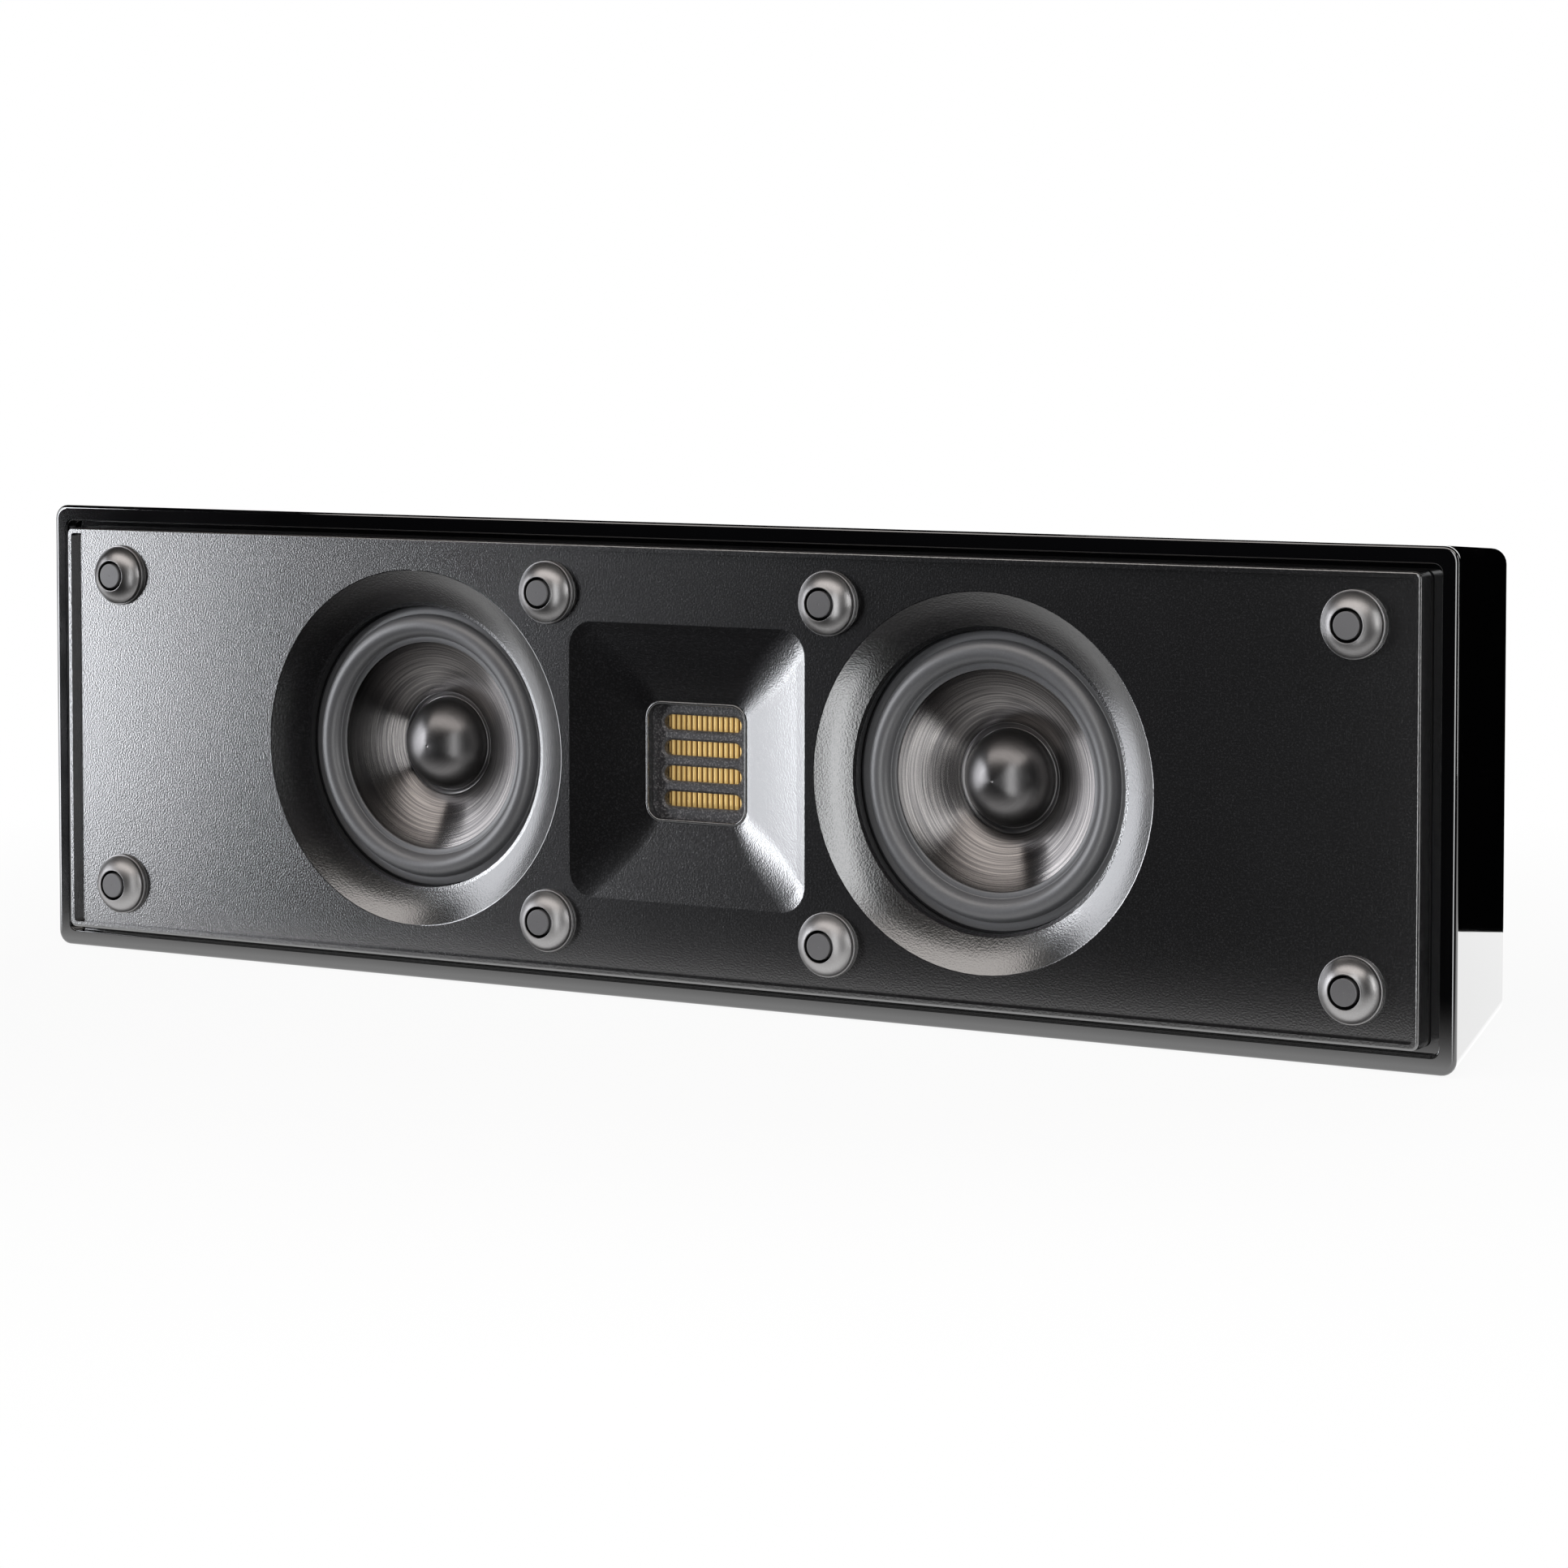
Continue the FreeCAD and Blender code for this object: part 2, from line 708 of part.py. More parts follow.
def make_rear_panel():
    """Rear board with the terminal opening, wells for the hangers and pilot holes."""
    body = new_body("rear_panel")
    board = front_sketch(body, "-rear_panel_thickness")
    rounded_rectangle(board, "2 * (back_half_width - rear_band - rear_panel_fit)",
                      "2 * (back_half_height - rear_band - rear_panel_fit)", "rear_corner_radius")
    pad(body, board, "rear_panel_thickness")
    opening = front_sketch(body, "-rear_panel_thickness")
    rounded_rectangle(opening, "cup_body_width + 2 * cup_fit", "cup_body_height + 2 * cup_fit",
                      "cup_corner_radius")
    pocket(body, opening, "rear_panel_thickness")
    rebate = front_sketch(body, "-cup_flange")
    rounded_rectangle(rebate, "cup_width + 2 * cup_fit", "cup_height + 2 * cup_fit", "cup_corner_radius")
    pocket(body, rebate, "cup_flange")
    holes = front_sketch(body, "-cup_screw_length")
    for sx, sz in FOUR_CORNERS:
        circle(holes, f"{sx} * (cup_width / 2 - cup_screw_inset)",
               f"{sz} * (cup_height / 2 - cup_screw_inset)", "small_shank_radius + pilot_fit")
    pocket(body, holes, "cup_screw_length")
    for sign in (-1, 1):
        hanger = f"{sign} * keyhole_x"
        rebate = front_sketch(body, "-keyhole_plate_thickness")
        rounded_rectangle(rebate, "keyhole_plate_width + 2 * cup_fit", "keyhole_plate_height + 2 * cup_fit",
                          "rear_corner_radius", hanger)
        pocket(body, rebate, "keyhole_plate_thickness")
        well = front_sketch(body, "-keyhole_well_depth")
        rounded_rectangle(well, "keyhole_well_width", "keyhole_well_height", "rear_corner_radius", hanger)
        pocket(body, well, "keyhole_well_depth")
        holes = front_sketch(body, "-keyhole_screw_length")
        for sz in (-1, 1):
            circle(holes, hanger, f"{sz} * keyhole_screw_spacing / 2", "small_shank_radius + pilot_fit")
        pocket(body, holes, "keyhole_screw_length")
    posts = front_sketch(body, "-rear_panel_thickness")
    for x, z in board_corners():
        circle(posts, x, z, "small_shank_radius + pilot_fit")
    pocket(body, posts, "board_screw_bite + pilot_fit")
    place(body, "0", "back_y", "middle_z")
    return keep(body, "rear_panel")


def make_feet(shell):
    """Four shelf pads, trimmed to the sloping bottom so that the speaker stands level."""
    pads = []
    for sign in SIDES.values():
        for setback in ("front_foot_setback", "rear_foot_setback"):
            x = f"{sign} * (back_half_width - foot_inset)"
            pads.append(rod("foot_blank", "foot_radius", "wall_thickness / 2 + front_edge_lift", x,
                            f"rim_y + {setback}", "0", (Z_AXIS, 0)))
    return keep(cut("shelf_feet", compound("foot_blanks", pads), shell), "shelf_feet")


def make_blocks(shell):
    """Eight glue blocks on the top and bottom walls that take the baffle's screws."""
    blocks = []
    for x, row in stud_grid():
        middle = f"middle_z + {row} * (half_height - 3 * wall_thickness / 4 - block_reach / 2)"
        blank = box("block_blank", "block_width", "block_depth", "block_reach + wall_thickness / 2", x,
                    "ledge_y", middle)
        hole = rod("block_pilot", "large_shank_radius + pilot_fit", "baffle_screw_length", x, "ledge_y",
                   f"middle_z + {row} * stud_z")
        blocks.append(cut("block_drilled", blank, hole))
    return keep(cut("baffle_blocks", compound("block_blanks", blocks), shell), "baffle_blocks")


def board_corners():
    """The four fixing points of the crossover board, seen from the front."""
    return [(f"board_x + {sx} * (board_width / 2 - standoff_inset)",
             f"{sz} * (board_height / 2 - standoff_inset)") for sx, sz in FOUR_CORNERS]


# Front baffle

def make_front_baffle():
    """One moulding: framed panel with two dished rings and the tweeter's horn."""
    body = new_body("front_baffle")
    sheet_outline = front_sketch(body, "-lip_height")
    rounded_rectangle(sheet_outline, "baffle_width", "baffle_height", "baffle_corner_radius")
    slab = pad(body, sheet_outline, "lip_height + panel_thickness")
    face = -size("lip_height")
    round_edges(body, slab, lambda edge: at_depth(edge, face), "lip_round")
    recess = front_sketch(body, "-lip_height")
    rounded_rectangle(recess, "baffle_width - 2 * lip_width", "baffle_height - 2 * lip_width",
                      "baffle_corner_radius / 2")
    pocket(body, recess, "lip_height")

    boss = new_sketch(body, "XY_Plane", shift_x="woofer_x")
    outline(boss, [
        ("ring_inner_radius - ring_wall", "panel_thickness / 2"),
        ("ring_outer_radius + ring_wall", "panel_thickness / 2"),
        ("ring_outer_radius + ring_wall", "seat_depth"), ("ring_inner_radius - ring_wall", "seat_depth"),
    ])
    boss = spin(body, "PartDesign::Revolution", boss)
    mirrored(body, [boss])
    horn_boss = front_sketch(body, "panel_thickness / 2")
    rounded_rectangle(horn_boss, "horn_width + 2 * horn_wall", "horn_height + 2 * horn_wall",
                      "horn_corner_radius")
    pad(body, horn_boss, "horn_seat - panel_thickness / 2")

    dish = new_sketch(body, "XY_Plane", shift_x="woofer_x")
    outline(dish, [
        ("0", "-lip_height / 2"), ("ring_outer_radius", "-lip_height / 2"), ("ring_outer_radius", "0"),
        ("ring_inner_radius + ring_land", "ring_depth"),
        ("ring_inner_radius", "ring_depth + ring_land_drop"),
        ("ring_inner_radius", "seat_depth + ring_wall"), ("0", "seat_depth + ring_wall"),
    ], {2: ("ring_bow", 1)})
    dish = spin(body, "PartDesign::Groove", dish)
    dishes = mirrored(body, [dish])
    rim = size("ring_outer_radius")
    round_edges(body, dishes, lambda edge: at_depth(edge, 0) and is_round(edge, rim), "ring_edge_round")
    mouth, throat = front_sketch(body), front_sketch(body, "horn_depth")
    rounded_rectangle(mouth, "horn_width", "horn_height", "horn_corner_radius")
    rounded_rectangle(throat, "throat_width", "throat_height", "throat_corner_radius")
    loft(body, "PartDesign::SubtractiveLoft", mouth, throat)
    neck = front_sketch(body, "horn_depth")
    rounded_rectangle(neck, "throat_width", "throat_height", "throat_corner_radius")
    horn = pocket(body, neck, "horn_seat - horn_depth")
    reach, bottom = size("horn_width / 2"), size("horn_depth")
    horn = round_edges(body, horn, lambda edge: at_depth(edge, 0) and within(edge, reach), "horn_edge_round")
    round_edges(body, horn, lambda edge: at_depth(edge, bottom) and within(edge, reach), "throat_edge_round")

    holes = front_sketch(body)
    for x, row in stud_grid():
        circle(holes, x, f"{row} * stud_z", "large_shank_radius + screw_hole_fit")
    pocket(body, holes, "panel_thickness")
    pilots = front_sketch(body, "seat_depth")
    for x, z in woofer_bolts(1) + woofer_bolts(-1):
        circle(pilots, x, z, "small_shank_radius + pilot_fit")
    pocket(body, pilots, "woofer_screw_length - basket_sheet - driver_gasket + pilot_fit", backwards=False)
    pilots = front_sketch(body, "horn_seat")
    for x, z in tweeter_bolts():
        circle(pilots, x, z, "small_shank_radius + pilot_fit")
    pocket(body, pilots, "tweeter_screw_bite + pilot_fit", backwards=False)
    place(body, "0", "panel_y", "middle_z")
    return keep(body, "front_baffle")


def woofer_bolts(side):
    """The four bolt places of one woofer, seen from the front."""
    return [(f"{side} * woofer_x + {sx} * bolt_circle_radius * cos(45 deg)",
             f"{sz} * bolt_circle_radius * cos(45 deg)") for sx, sz in FOUR_CORNERS]


def tweeter_bolts():
    """The four bolt places of the tweeter, seen from the front."""
    return [(f"{sx} * tweeter_screw_spacing / 2", f"{sz} * tweeter_screw_spacing / 2")
            for sx, sz in FOUR_CORNERS]


def make_baffle_gasket():
    """Foam frame between the baffle and the step of the cabinet."""
    body = new_body("baffle_gasket")
    ring = front_sketch(body)
    rounded_rectangle(ring, "baffle_width", "baffle_height", "baffle_corner_radius")
    rounded_rectangle(ring, "cabinet_width - 2 * wall_thickness", "cabinet_height - 2 * wall_thickness",
                      "baffle_corner_radius")
    pad(body, ring, "baffle_gasket_thickness")
    place(body, "0", "ledge_y - baffle_gasket_thickness", "middle_z")
    return keep(body, "baffle_gasket")


def make_studs():
    """Eight domed grille studs over the baffle's screws, each with a magnet disc in its crown."""
    waist = "stud_base_height + stud_groove_height"
    stud = turned("stud", [
        ("stud_recess_radius", "0"), ("stud_base_radius", "0"), ("stud_base_radius", "-stud_base_height"),
        ("stud_groove_radius", "-stud_base_height"), ("stud_groove_radius", f"-({waist})"),
        ("stud_dome_radius", f"-({waist})"), ("stud_hole_radius", "-stud_height"),
        ("stud_hole_radius", "stud_hole_depth - stud_height"), ("0", "stud_hole_depth - stud_height"),
        ("0", "-stud_recess_depth"), ("stud_recess_radius", "-stud_recess_depth"),
    ], {5: ("stud_crown", 1)})
    copies("grille_studs", stud, stud_spots("panel_y"))
    disc = turned("disc", [
        ("0", "0"), ("magnet_disc_radius", "0"),
        ("magnet_disc_radius", "magnet_disc_chamfer - magnet_disc_height"),
        ("magnet_disc_radius - magnet_disc_chamfer", "-magnet_disc_height"), ("0", "-magnet_disc_height"),
    ])
    copies("stud_magnets", disc, stud_spots("panel_y - stud_height + stud_hole_depth"))
    fixing = screw("baffle_screw", "large_head_radius", "large_head_height", "large_shank_radius",
                   "baffle_screw_length")
    copies("baffle_screws", fixing, stud_spots("panel_y"))


# Woofers

def make_woofer_masters():
    """The pieces of one woofer, turned about the depth axis with the flange's face at depth 0."""
    sheet_back = "basket_sheet"
    basket = turned("basket", [
        ("flange_bore_radius", "0"), ("flange_radius", "0"), ("flange_radius", sheet_back),
        ("basket_shoulder_radius", sheet_back),
        ("basket_ledge_radius + basket_sheet", "basket_ledge_depth + basket_sheet"),
        ("basket_cup_radius + basket_sheet", "basket_ledge_depth + basket_sheet"),
        ("basket_cup_radius + basket_sheet", "basket_depth"), ("basket_bore_radius", "basket_depth"),
        ("basket_bore_radius", "basket_depth - basket_sheet"),
        ("basket_cup_radius", "basket_depth - basket_sheet"), ("basket_cup_radius", "basket_ledge_depth"),
        ("basket_ledge_radius", "basket_ledge_depth"),
        ("basket_shoulder_radius - basket_slant_width", sheet_back), ("flange_bore_radius", sheet_back),
    ])
    window = front_sketch(basket, "2 * basket_sheet")
    outline(window, [
        ("-window_inner_half_width", "window_inner_radius"),
        ("window_inner_half_width", "window_inner_radius"),
        ("window_outer_half_width", "window_outer_radius"),
        ("-window_outer_half_width", "window_outer_radius"),
    ])
    window = pocket(basket, window, "basket_ledge_depth - 2 * basket_sheet")
    polar(basket, [window], "basket_windows")
    bolts = front_sketch(basket)
    for sx, sz in FOUR_CORNERS:
        circle(bolts, f"{sx} * bolt_circle_radius * cos(45 deg)", f"{sz} * bolt_circle_radius * cos(45 deg)",
               "small_shank_radius + screw_hole_fit")
    pocket(basket, bolts, "basket_sheet")

    gasket = turned("gasket", [
        ("gasket_bore_radius", "-driver_gasket"), ("flange_radius", "-driver_gasket"),
        ("flange_radius", "0"), ("gasket_bore_radius", "0"),
    ])
    bolts = front_sketch(gasket, "-driver_gasket")
    for sx, sz in FOUR_CORNERS:
        circle(bolts, f"{sx} * bolt_circle_radius * cos(45 deg)", f"{sz} * bolt_circle_radius * cos(45 deg)",
               "small_shank_radius + screw_hole_fit")
    pocket(gasket, bolts, "driver_gasket")

    skin = "surround_thickness"
    surround = turned("surround", [
        ("surround_outer_radius", "0"), ("surround_outer_radius", f"-{skin}"),
        ("roll_outer_radius", f"-{skin}"),
        ("roll_inner_radius", f"-{skin}"), ("surround_inner_radius", f"-{skin}"),
        ("surround_inner_radius", "-cone_glue"), (f"roll_inner_radius + {skin}", "-cone_glue"),
        (f"roll_outer_radius - {skin}", "-cone_glue"), ("roll_outer_radius", "0"),
    ], {2: (None, -1), 6: (None, 1)})
    cone = turned("cone", [
        ("roll_inner_radius", "0"), ("cone_edge_radius", "0"), ("neck_radius", "cone_depth"),
        ("neck_radius", "cone_depth + cone_slant_depth"), ("cone_edge_radius", "cone_slant_depth"),
        ("roll_inner_radius", "cone_thickness"),
    ])
    cap_bulge = "(cap_radius ^ 2 + cap_height ^ 2) / (2 * cap_height)"
    cap = turned("cap", [
        ("cap_flange_radius", "cap_flange_seat"), ("cap_flange_radius", "cap_flange_seat - cap_thickness"),
        ("cap_radius", "cap_foot"), ("0", "cap_foot - cap_height"),
        ("0", "cap_foot - cap_height + cap_thickness"),
        ("cap_radius - cap_thickness", "cap_foot"), ("cap_radius - cap_thickness", "cap_inner_seat"),
    ], {2: (cap_bulge, -1), 4: (f"{cap_bulge} - cap_thickness", 1)})
    coil = turned("coil", [
        ("coil_bore_radius", "former_front"), ("coil_radius_inner", "former_front"),
        ("coil_radius_inner", "winding_middle - winding_length / 2"),
        ("coil_radius_outer", "winding_middle - winding_length / 2"),
        ("coil_radius_outer", "winding_middle + winding_length / 2"),
        ("coil_bore_radius", "winding_middle + winding_length / 2"),
    ])
    spider = make_spider()
    top_plate = turned("top_plate", [
        ("coil_radius_outer + coil_gap", "basket_depth"), ("top_plate_radius", "basket_depth"),
        ("top_plate_radius", "top_plate_depth"), ("coil_radius_outer + coil_gap", "top_plate_depth"),
    ])
    magnet = turned("magnet", [
        ("magnet_bore_radius", "top_plate_depth"), ("magnet_radius", "top_plate_depth"),
        ("magnet_radius", "magnet_depth"), ("magnet_bore_radius", "magnet_depth"),
    ])
    yoke = turned("yoke", [
        ("pole_vent_radius", "basket_depth"), ("coil_bore_radius - pole_gap", "basket_depth"),
        ("coil_bore_radius - pole_gap", "magnet_depth"), ("yoke_radius", "magnet_depth"),
        ("yoke_radius", "magnet_depth + yoke_thickness"),
        ("pole_vent_radius", "magnet_depth + yoke_thickness"),
    ])
    return {"basket": basket, "gasket": gasket, "surround": surround, "cone": cone, "dust_cap": cap,
            "voice_coil": coil, "spider": spider, "top_plate": top_plate, "magnet": magnet, "yoke": yoke}


def make_spider():
    """Corrugated centring disc from the coil's former to the basket's ledge."""
    inner, outer = "coil_radius_inner + spider_fit", "basket_cup_radius"
    waves = count("spider_folds")
    front, back = [], []
    for i in range(waves + 1):
        radius = f"{inner} + ({outer} - ({inner})) * {i} / {waves}"
        swing = "0" if i in (0, waves) else f"{(-1) ** i} * spider_wave"
        middle = f"basket_ledge_depth - spider_fit - spider_wave + {swing}"
        front.append((radius, f"{middle} - spider_thickness"))
        back.append((radius, middle))
    rim = "basket_ledge_radius - spider_fit"
    ledge = "basket_ledge_depth - spider_fit"
    front[-1] = (outer, f"{ledge} - spider_thickness")
    back[-1] = (outer, ledge)
    return turned("spider", front + [(rim, f"{ledge} - spider_thickness"), (rim, ledge)] + back[::-1])


def make_woofers():
    """Both woofers: one copy of each master piece a side, with screws and solder tabs."""
    fixing = screw("driver_screw", "small_head_radius", "small_head_height", "small_shank_radius",
                   "woofer_screw_length")
    masters = make_woofer_masters()
    for side, sign in SIDES.items():
        centre = f"{sign} * woofer_x"
        for piece, master in masters.items():
            copies(f"{side}_{piece}", master, [(centre, "driver_y", "middle_z")])
        spots = [(x, "driver_y + basket_sheet", f"middle_z + {z}") for x, z in woofer_bolts(int(sign))]
        copies(f"{side}_woofer_screws", fixing, spots, (Z_AXIS, 180))
        tabs = []
        for step in (-1, 1):
            tabs.append(box("tab", "tab_thickness", "tab_length", "tab_height",
                            f"{centre} + {step} * tab_spacing / 2",
                            "driver_y + basket_ledge_depth + basket_sheet",
                            "middle_z + basket_cup_radius + basket_sheet + tab_height / 2"))
        keep(compound(f"{side}_terminal_tabs", tabs), f"{side}_terminal_tabs")


# Tweeter

def plate(name, width, height, thickness, windows, y, label):
    """A square plate of the tweeter with a cut-out and four bolt holes."""
    body = new_body(name)
    board = front_sketch(body)
    rounded_rectangle(board, width, height, "rim_corner_radius")
    pad(body, board, thickness)
    opening = front_sketch(body)
    windows(opening)
    pocket(body, opening, thickness)
    holes = front_sketch(body)
    for x, z in tweeter_bolts():
        circle(holes, x, z, "small_shank_radius + screw_hole_fit")
    pocket(body, holes, thickness)
    place(body, "0", y, "middle_z")
    return keep(body, label)


def four_slots(sketch):
    """The row of sound slots."""
    total = count("slot_count")
    for i in range(total):
        stadium(sketch, "slot_length", "slot_height", f"slot_pitch * {i - (total - 1) / 2}")


def film_window(sketch):
    """The opening that holds the folded film."""
    rounded_rectangle(sketch, "film_window_width", "film_window_height", "rim_corner_radius / 2")


def throat_window(sketch):
    """The opening behind the horn's throat."""
    rounded_rectangle(sketch, "throat_width", "throat_height", "throat_corner_radius")


def bevel_slots(body):
    """Chamfer the front edges of a plate's sound slots."""
    base = body.Tip
    reach = size("throat_width / 2")
    names = [f"Edge{i}" for i, edge in enumerate(base.Shape.Edges, start=1)
             if at_depth(edge, 0.0) and all(abs(vertex.X) < reach for vertex in edge.Vertexes)]
    feature = body.newObject("PartDesign::Chamfer", "feature")
    feature.Base = (base, names)
    tie(feature, Size="slot_chamfer")
    settle(body, feature)


# One fold of the film: share of the pitch, and -1 at its front or 1 at its back
FOLD_STEPS = [(0.0, -1), (0.3, -1), (0.5, 1), (0.8, 1)]


def make_film():
    """Folded film: a corrugated strip whose folds run upright."""
    folds = int(size("film_window_width - 2 * film_fit") / size("film_pitch"))
    pitch, reach = size("film_pitch"), size("film_depth") / 2
    skin = size("film_thickness") / 2
    start = -folds * pitch / 2
    wave = [(start + pitch * (i + at), side * (reach - skin))
            for i in range(folds) for at, side in FOLD_STEPS]
    wave.append((start + pitch * folds, -(reach - skin)))
    low = size("middle_z - film_window_height / 2 + film_fit")
    front = [FreeCAD.Vector(x, y - skin, low) for x, y in wave]
    back = [FreeCAD.Vector(x, y + skin, low) for x, y in reversed(wave)]
    face = Part.Face(Part.makePolygon(front + back + front[:1]))
    film = doc.addObject("Part::Feature", "tweeter_film")
    film.Shape = face.extrude(FreeCAD.Vector(0, 0, size("film_window_height - 2 * film_fit")))
    place(film, "0", "film_y", "0")
    return keep(film, "tweeter_film")


def make_tweeter():
    """Folded-film tweeter as a stack behind the horn's throat."""
    width = "tweeter_width"
    plate("tweeter_gasket", width, width, "tweeter_gasket_thickness", throat_window, "panel_y + horn_seat",
          "tweeter_gasket")
    face = plate("tweeter_front_plate", width, width, "front_plate_thickness", four_slots, "plate_front_y",
                 "tweeter_front_plate")
    bevel_slots(face)
    plate("tweeter_frame", width, width, "film_frame_thickness", film_window, "plate_back_y", "tweeter_frame")
    make_film()
    bars = []
    for i in range(count("slot_count") + 1):
        level = f"middle_z + slot_pitch * {i - count('slot_count') / 2}"
        bars.append(box("bar", "film_window_width + 2 * bar_overhang", "bar_thickness", "bar_height", "0",
                        "frame_back_y", level))
    keep(compound("tweeter_magnets", bars), "tweeter_magnets")
    plate("tweeter_rear_plate", width, width, "rear_plate_thickness", four_slots, "bars_back_y",
          "tweeter_rear_plate")
    cover = new_body("tweeter_back_cover")
    cup = front_sketch(cover)
    rounded_rectangle(cup, "tweeter_cover_width", "tweeter_cover_width", "rim_corner_radius")
    pad(cover, cup, "tweeter_cover_depth")
    hollow = front_sketch(cover)
    rounded_rectangle(hollow, "tweeter_cover_width - 2 * tweeter_cover_wall",
                      "tweeter_cover_width - 2 * tweeter_cover_wall", "rim_corner_radius / 2")
    pocket(cover, hollow, "tweeter_cover_depth - tweeter_cover_wall")
    place(cover, "0", "cover_front_y", "middle_z")
    keep(cover, "tweeter_back_cover")
    length = ("tweeter_screw_bite + tweeter_gasket_thickness + front_plate_thickness + film_frame_thickness"
              " + bar_thickness + rear_plate_thickness")
    fixing = screw("tweeter_screw", "small_head_radius", "small_head_height", "small_shank_radius", length)
    copies("tweeter_screws", fixing, [(x, "cover_front_y", f"middle_z + {z}") for x, z in tweeter_bolts()],
           (Z_AXIS, 180))
    spacers = []
    for x, z in tweeter_bolts():
        tube = rod("spacer_tube", "small_head_radius", "bar_thickness", x, "frame_back_y", f"middle_z + {z}")
        bore = rod("spacer_bore", "small_shank_radius + screw_hole_fit", "bar_thickness", x, "frame_back_y",
                   f"middle_z + {z}")
        spacers.append(cut("spacer", tube, bore))
    keep(compound("tweeter_spacers", spacers), "tweeter_spacers")


# Crossover

def make_crossover():
    """Crossover board on standoffs behind the right-hand end, with its parts on the front."""
    body = new_body("crossover_board")
    board = front_sketch(body)
    rounded_rectangle(board, "board_width", "board_height", "rim_corner_radius")
    pad(body, board, "board_thickness")
    holes = front_sketch(body)
    for x, z in board_corners():
        circle(holes, f"{x} - board_x", z, "small_shank_radius + screw_hole_fit")
    pocket(body, holes, "board_thickness")
    place(body, "board_x", "board_y - board_thickness", "middle_z")
    keep(body, "crossover_board")
    standoff = turned("standoff", [
        ("small_shank_radius + screw_hole_fit", "0"), ("standoff_radius", "0"),
        ("standoff_radius", "standoff_height"), ("small_shank_radius + screw_hole_fit", "standoff_height"),
    ])
    corners = [(x, f"middle_z + {z}") for x, z in board_corners()]
    copies("board_standoffs", standoff, [(x, "board_y", z) for x, z in corners])
    fixing = screw("board_screw", "small_head_radius", "small_head_height", "small_shank_radius",
                   "board_thickness + standoff_height + board_screw_bite")
    copies("board_screws", fixing, [(x, "board_y - board_thickness", z) for x, z in corners])
    face = "board_y - board_thickness"
    coil = turned("air_coil", [
        ("coil_bore", "-coil_height"), ("coil_radius", "-coil_height"), ("coil_radius", "0"),
        ("coil_bore", "0"),
    ])
    level = "middle_z - board_height / 2 + part_margin + coil_radius"
    copies("crossover_coils", coil, [("board_x", face, f"{level} + {i} * coil_spacing") for i in (0, 1)])
    cans = []
    for i in (0, 1):
        level = f"middle_z + board_height / 2 - part_margin - capacitor_radius - {i} * capacitor_spacing"
        cans.append(rod("can", "capacitor_radius", "capacitor_length", "board_x - capacitor_length / 2",
                        f"{face} - capacitor_radius", level, (Y_AXIS, 90)))
    keep(compound("crossover_capacitors", cans), "crossover_capacitors")
    blocks = []
    for i in (-1, 1):
        x = f"board_x + {i} * (board_width / 2 - resistor_thickness)"
        blocks.append(box("ceramic", "resistor_thickness", "resistor_height", "resistor_length", x,
                          f"{face} - resistor_height", "middle_z"))
    keep(compound("crossover_resistors", blocks), "crossover_resistors")


# Terminals and hangers

def make_terminal_cup():
    """Moulded cup let into the rear panel, with two binding posts on its floor."""
    body = new_body("terminal_cup")
    flange = front_sketch(body, "-cup_flange")
    rounded_rectangle(flange, "cup_width", "cup_height", "cup_corner_radius")
    pad(body, flange, "cup_flange")
    well = front_sketch(body, "-cup_depth")
    rounded_rectangle(well, "cup_body_width", "cup_body_height", "cup_corner_radius")
    pad(body, well, "cup_depth")
    hollow = front_sketch(body, "-cup_floor")
    rounded_rectangle(hollow, "cup_body_width - 2 * cup_wall", "cup_body_height - 2 * cup_wall",
                      "cup_corner_radius - cup_wall")
    pocket(body, hollow, "cup_floor")
    holes = front_sketch(body, "-cup_depth")
    for sign in SIDES.values():
        circle(holes, f"{sign} * post_spacing / 2", "0", "post_radius + post_fit")
    pocket(body, holes, "cup_wall")
    holes = front_sketch(body, "-cup_flange")
    for sx, sz in FOUR_CORNERS:
        circle(holes, f"{sx} * (cup_width / 2 - cup_screw_inset)",
               f"{sz} * (cup_height / 2 - cup_screw_inset)", "small_shank_radius + screw_hole_fit")
    pocket(body, holes, "cup_flange")
    sinks = front_sketch(body, "-small_head_height")
    for sx, sz in FOUR_CORNERS:
        circle(sinks, f"{sx} * (cup_width / 2 - cup_screw_inset)",
               f"{sz} * (cup_height / 2 - cup_screw_inset)", "small_head_radius + screw_hole_fit")
    pocket(body, sinks, "small_head_height")
    place(body, "0", "back_y", "middle_z")
    keep(body, "terminal_cup")
    fixing = screw("cup_screw", "small_head_radius", "small_head_height", "small_shank_radius",
                   "cup_screw_length - small_head_height")
    spots = [(f"{sx} * (cup_width / 2 - cup_screw_inset)", "back_y - small_head_height",
              f"middle_z + {sz} * (cup_height / 2 - cup_screw_inset)") for sx, sz in FOUR_CORNERS]
    copies("cup_screws", fixing, spots, (Z_AXIS, 180))


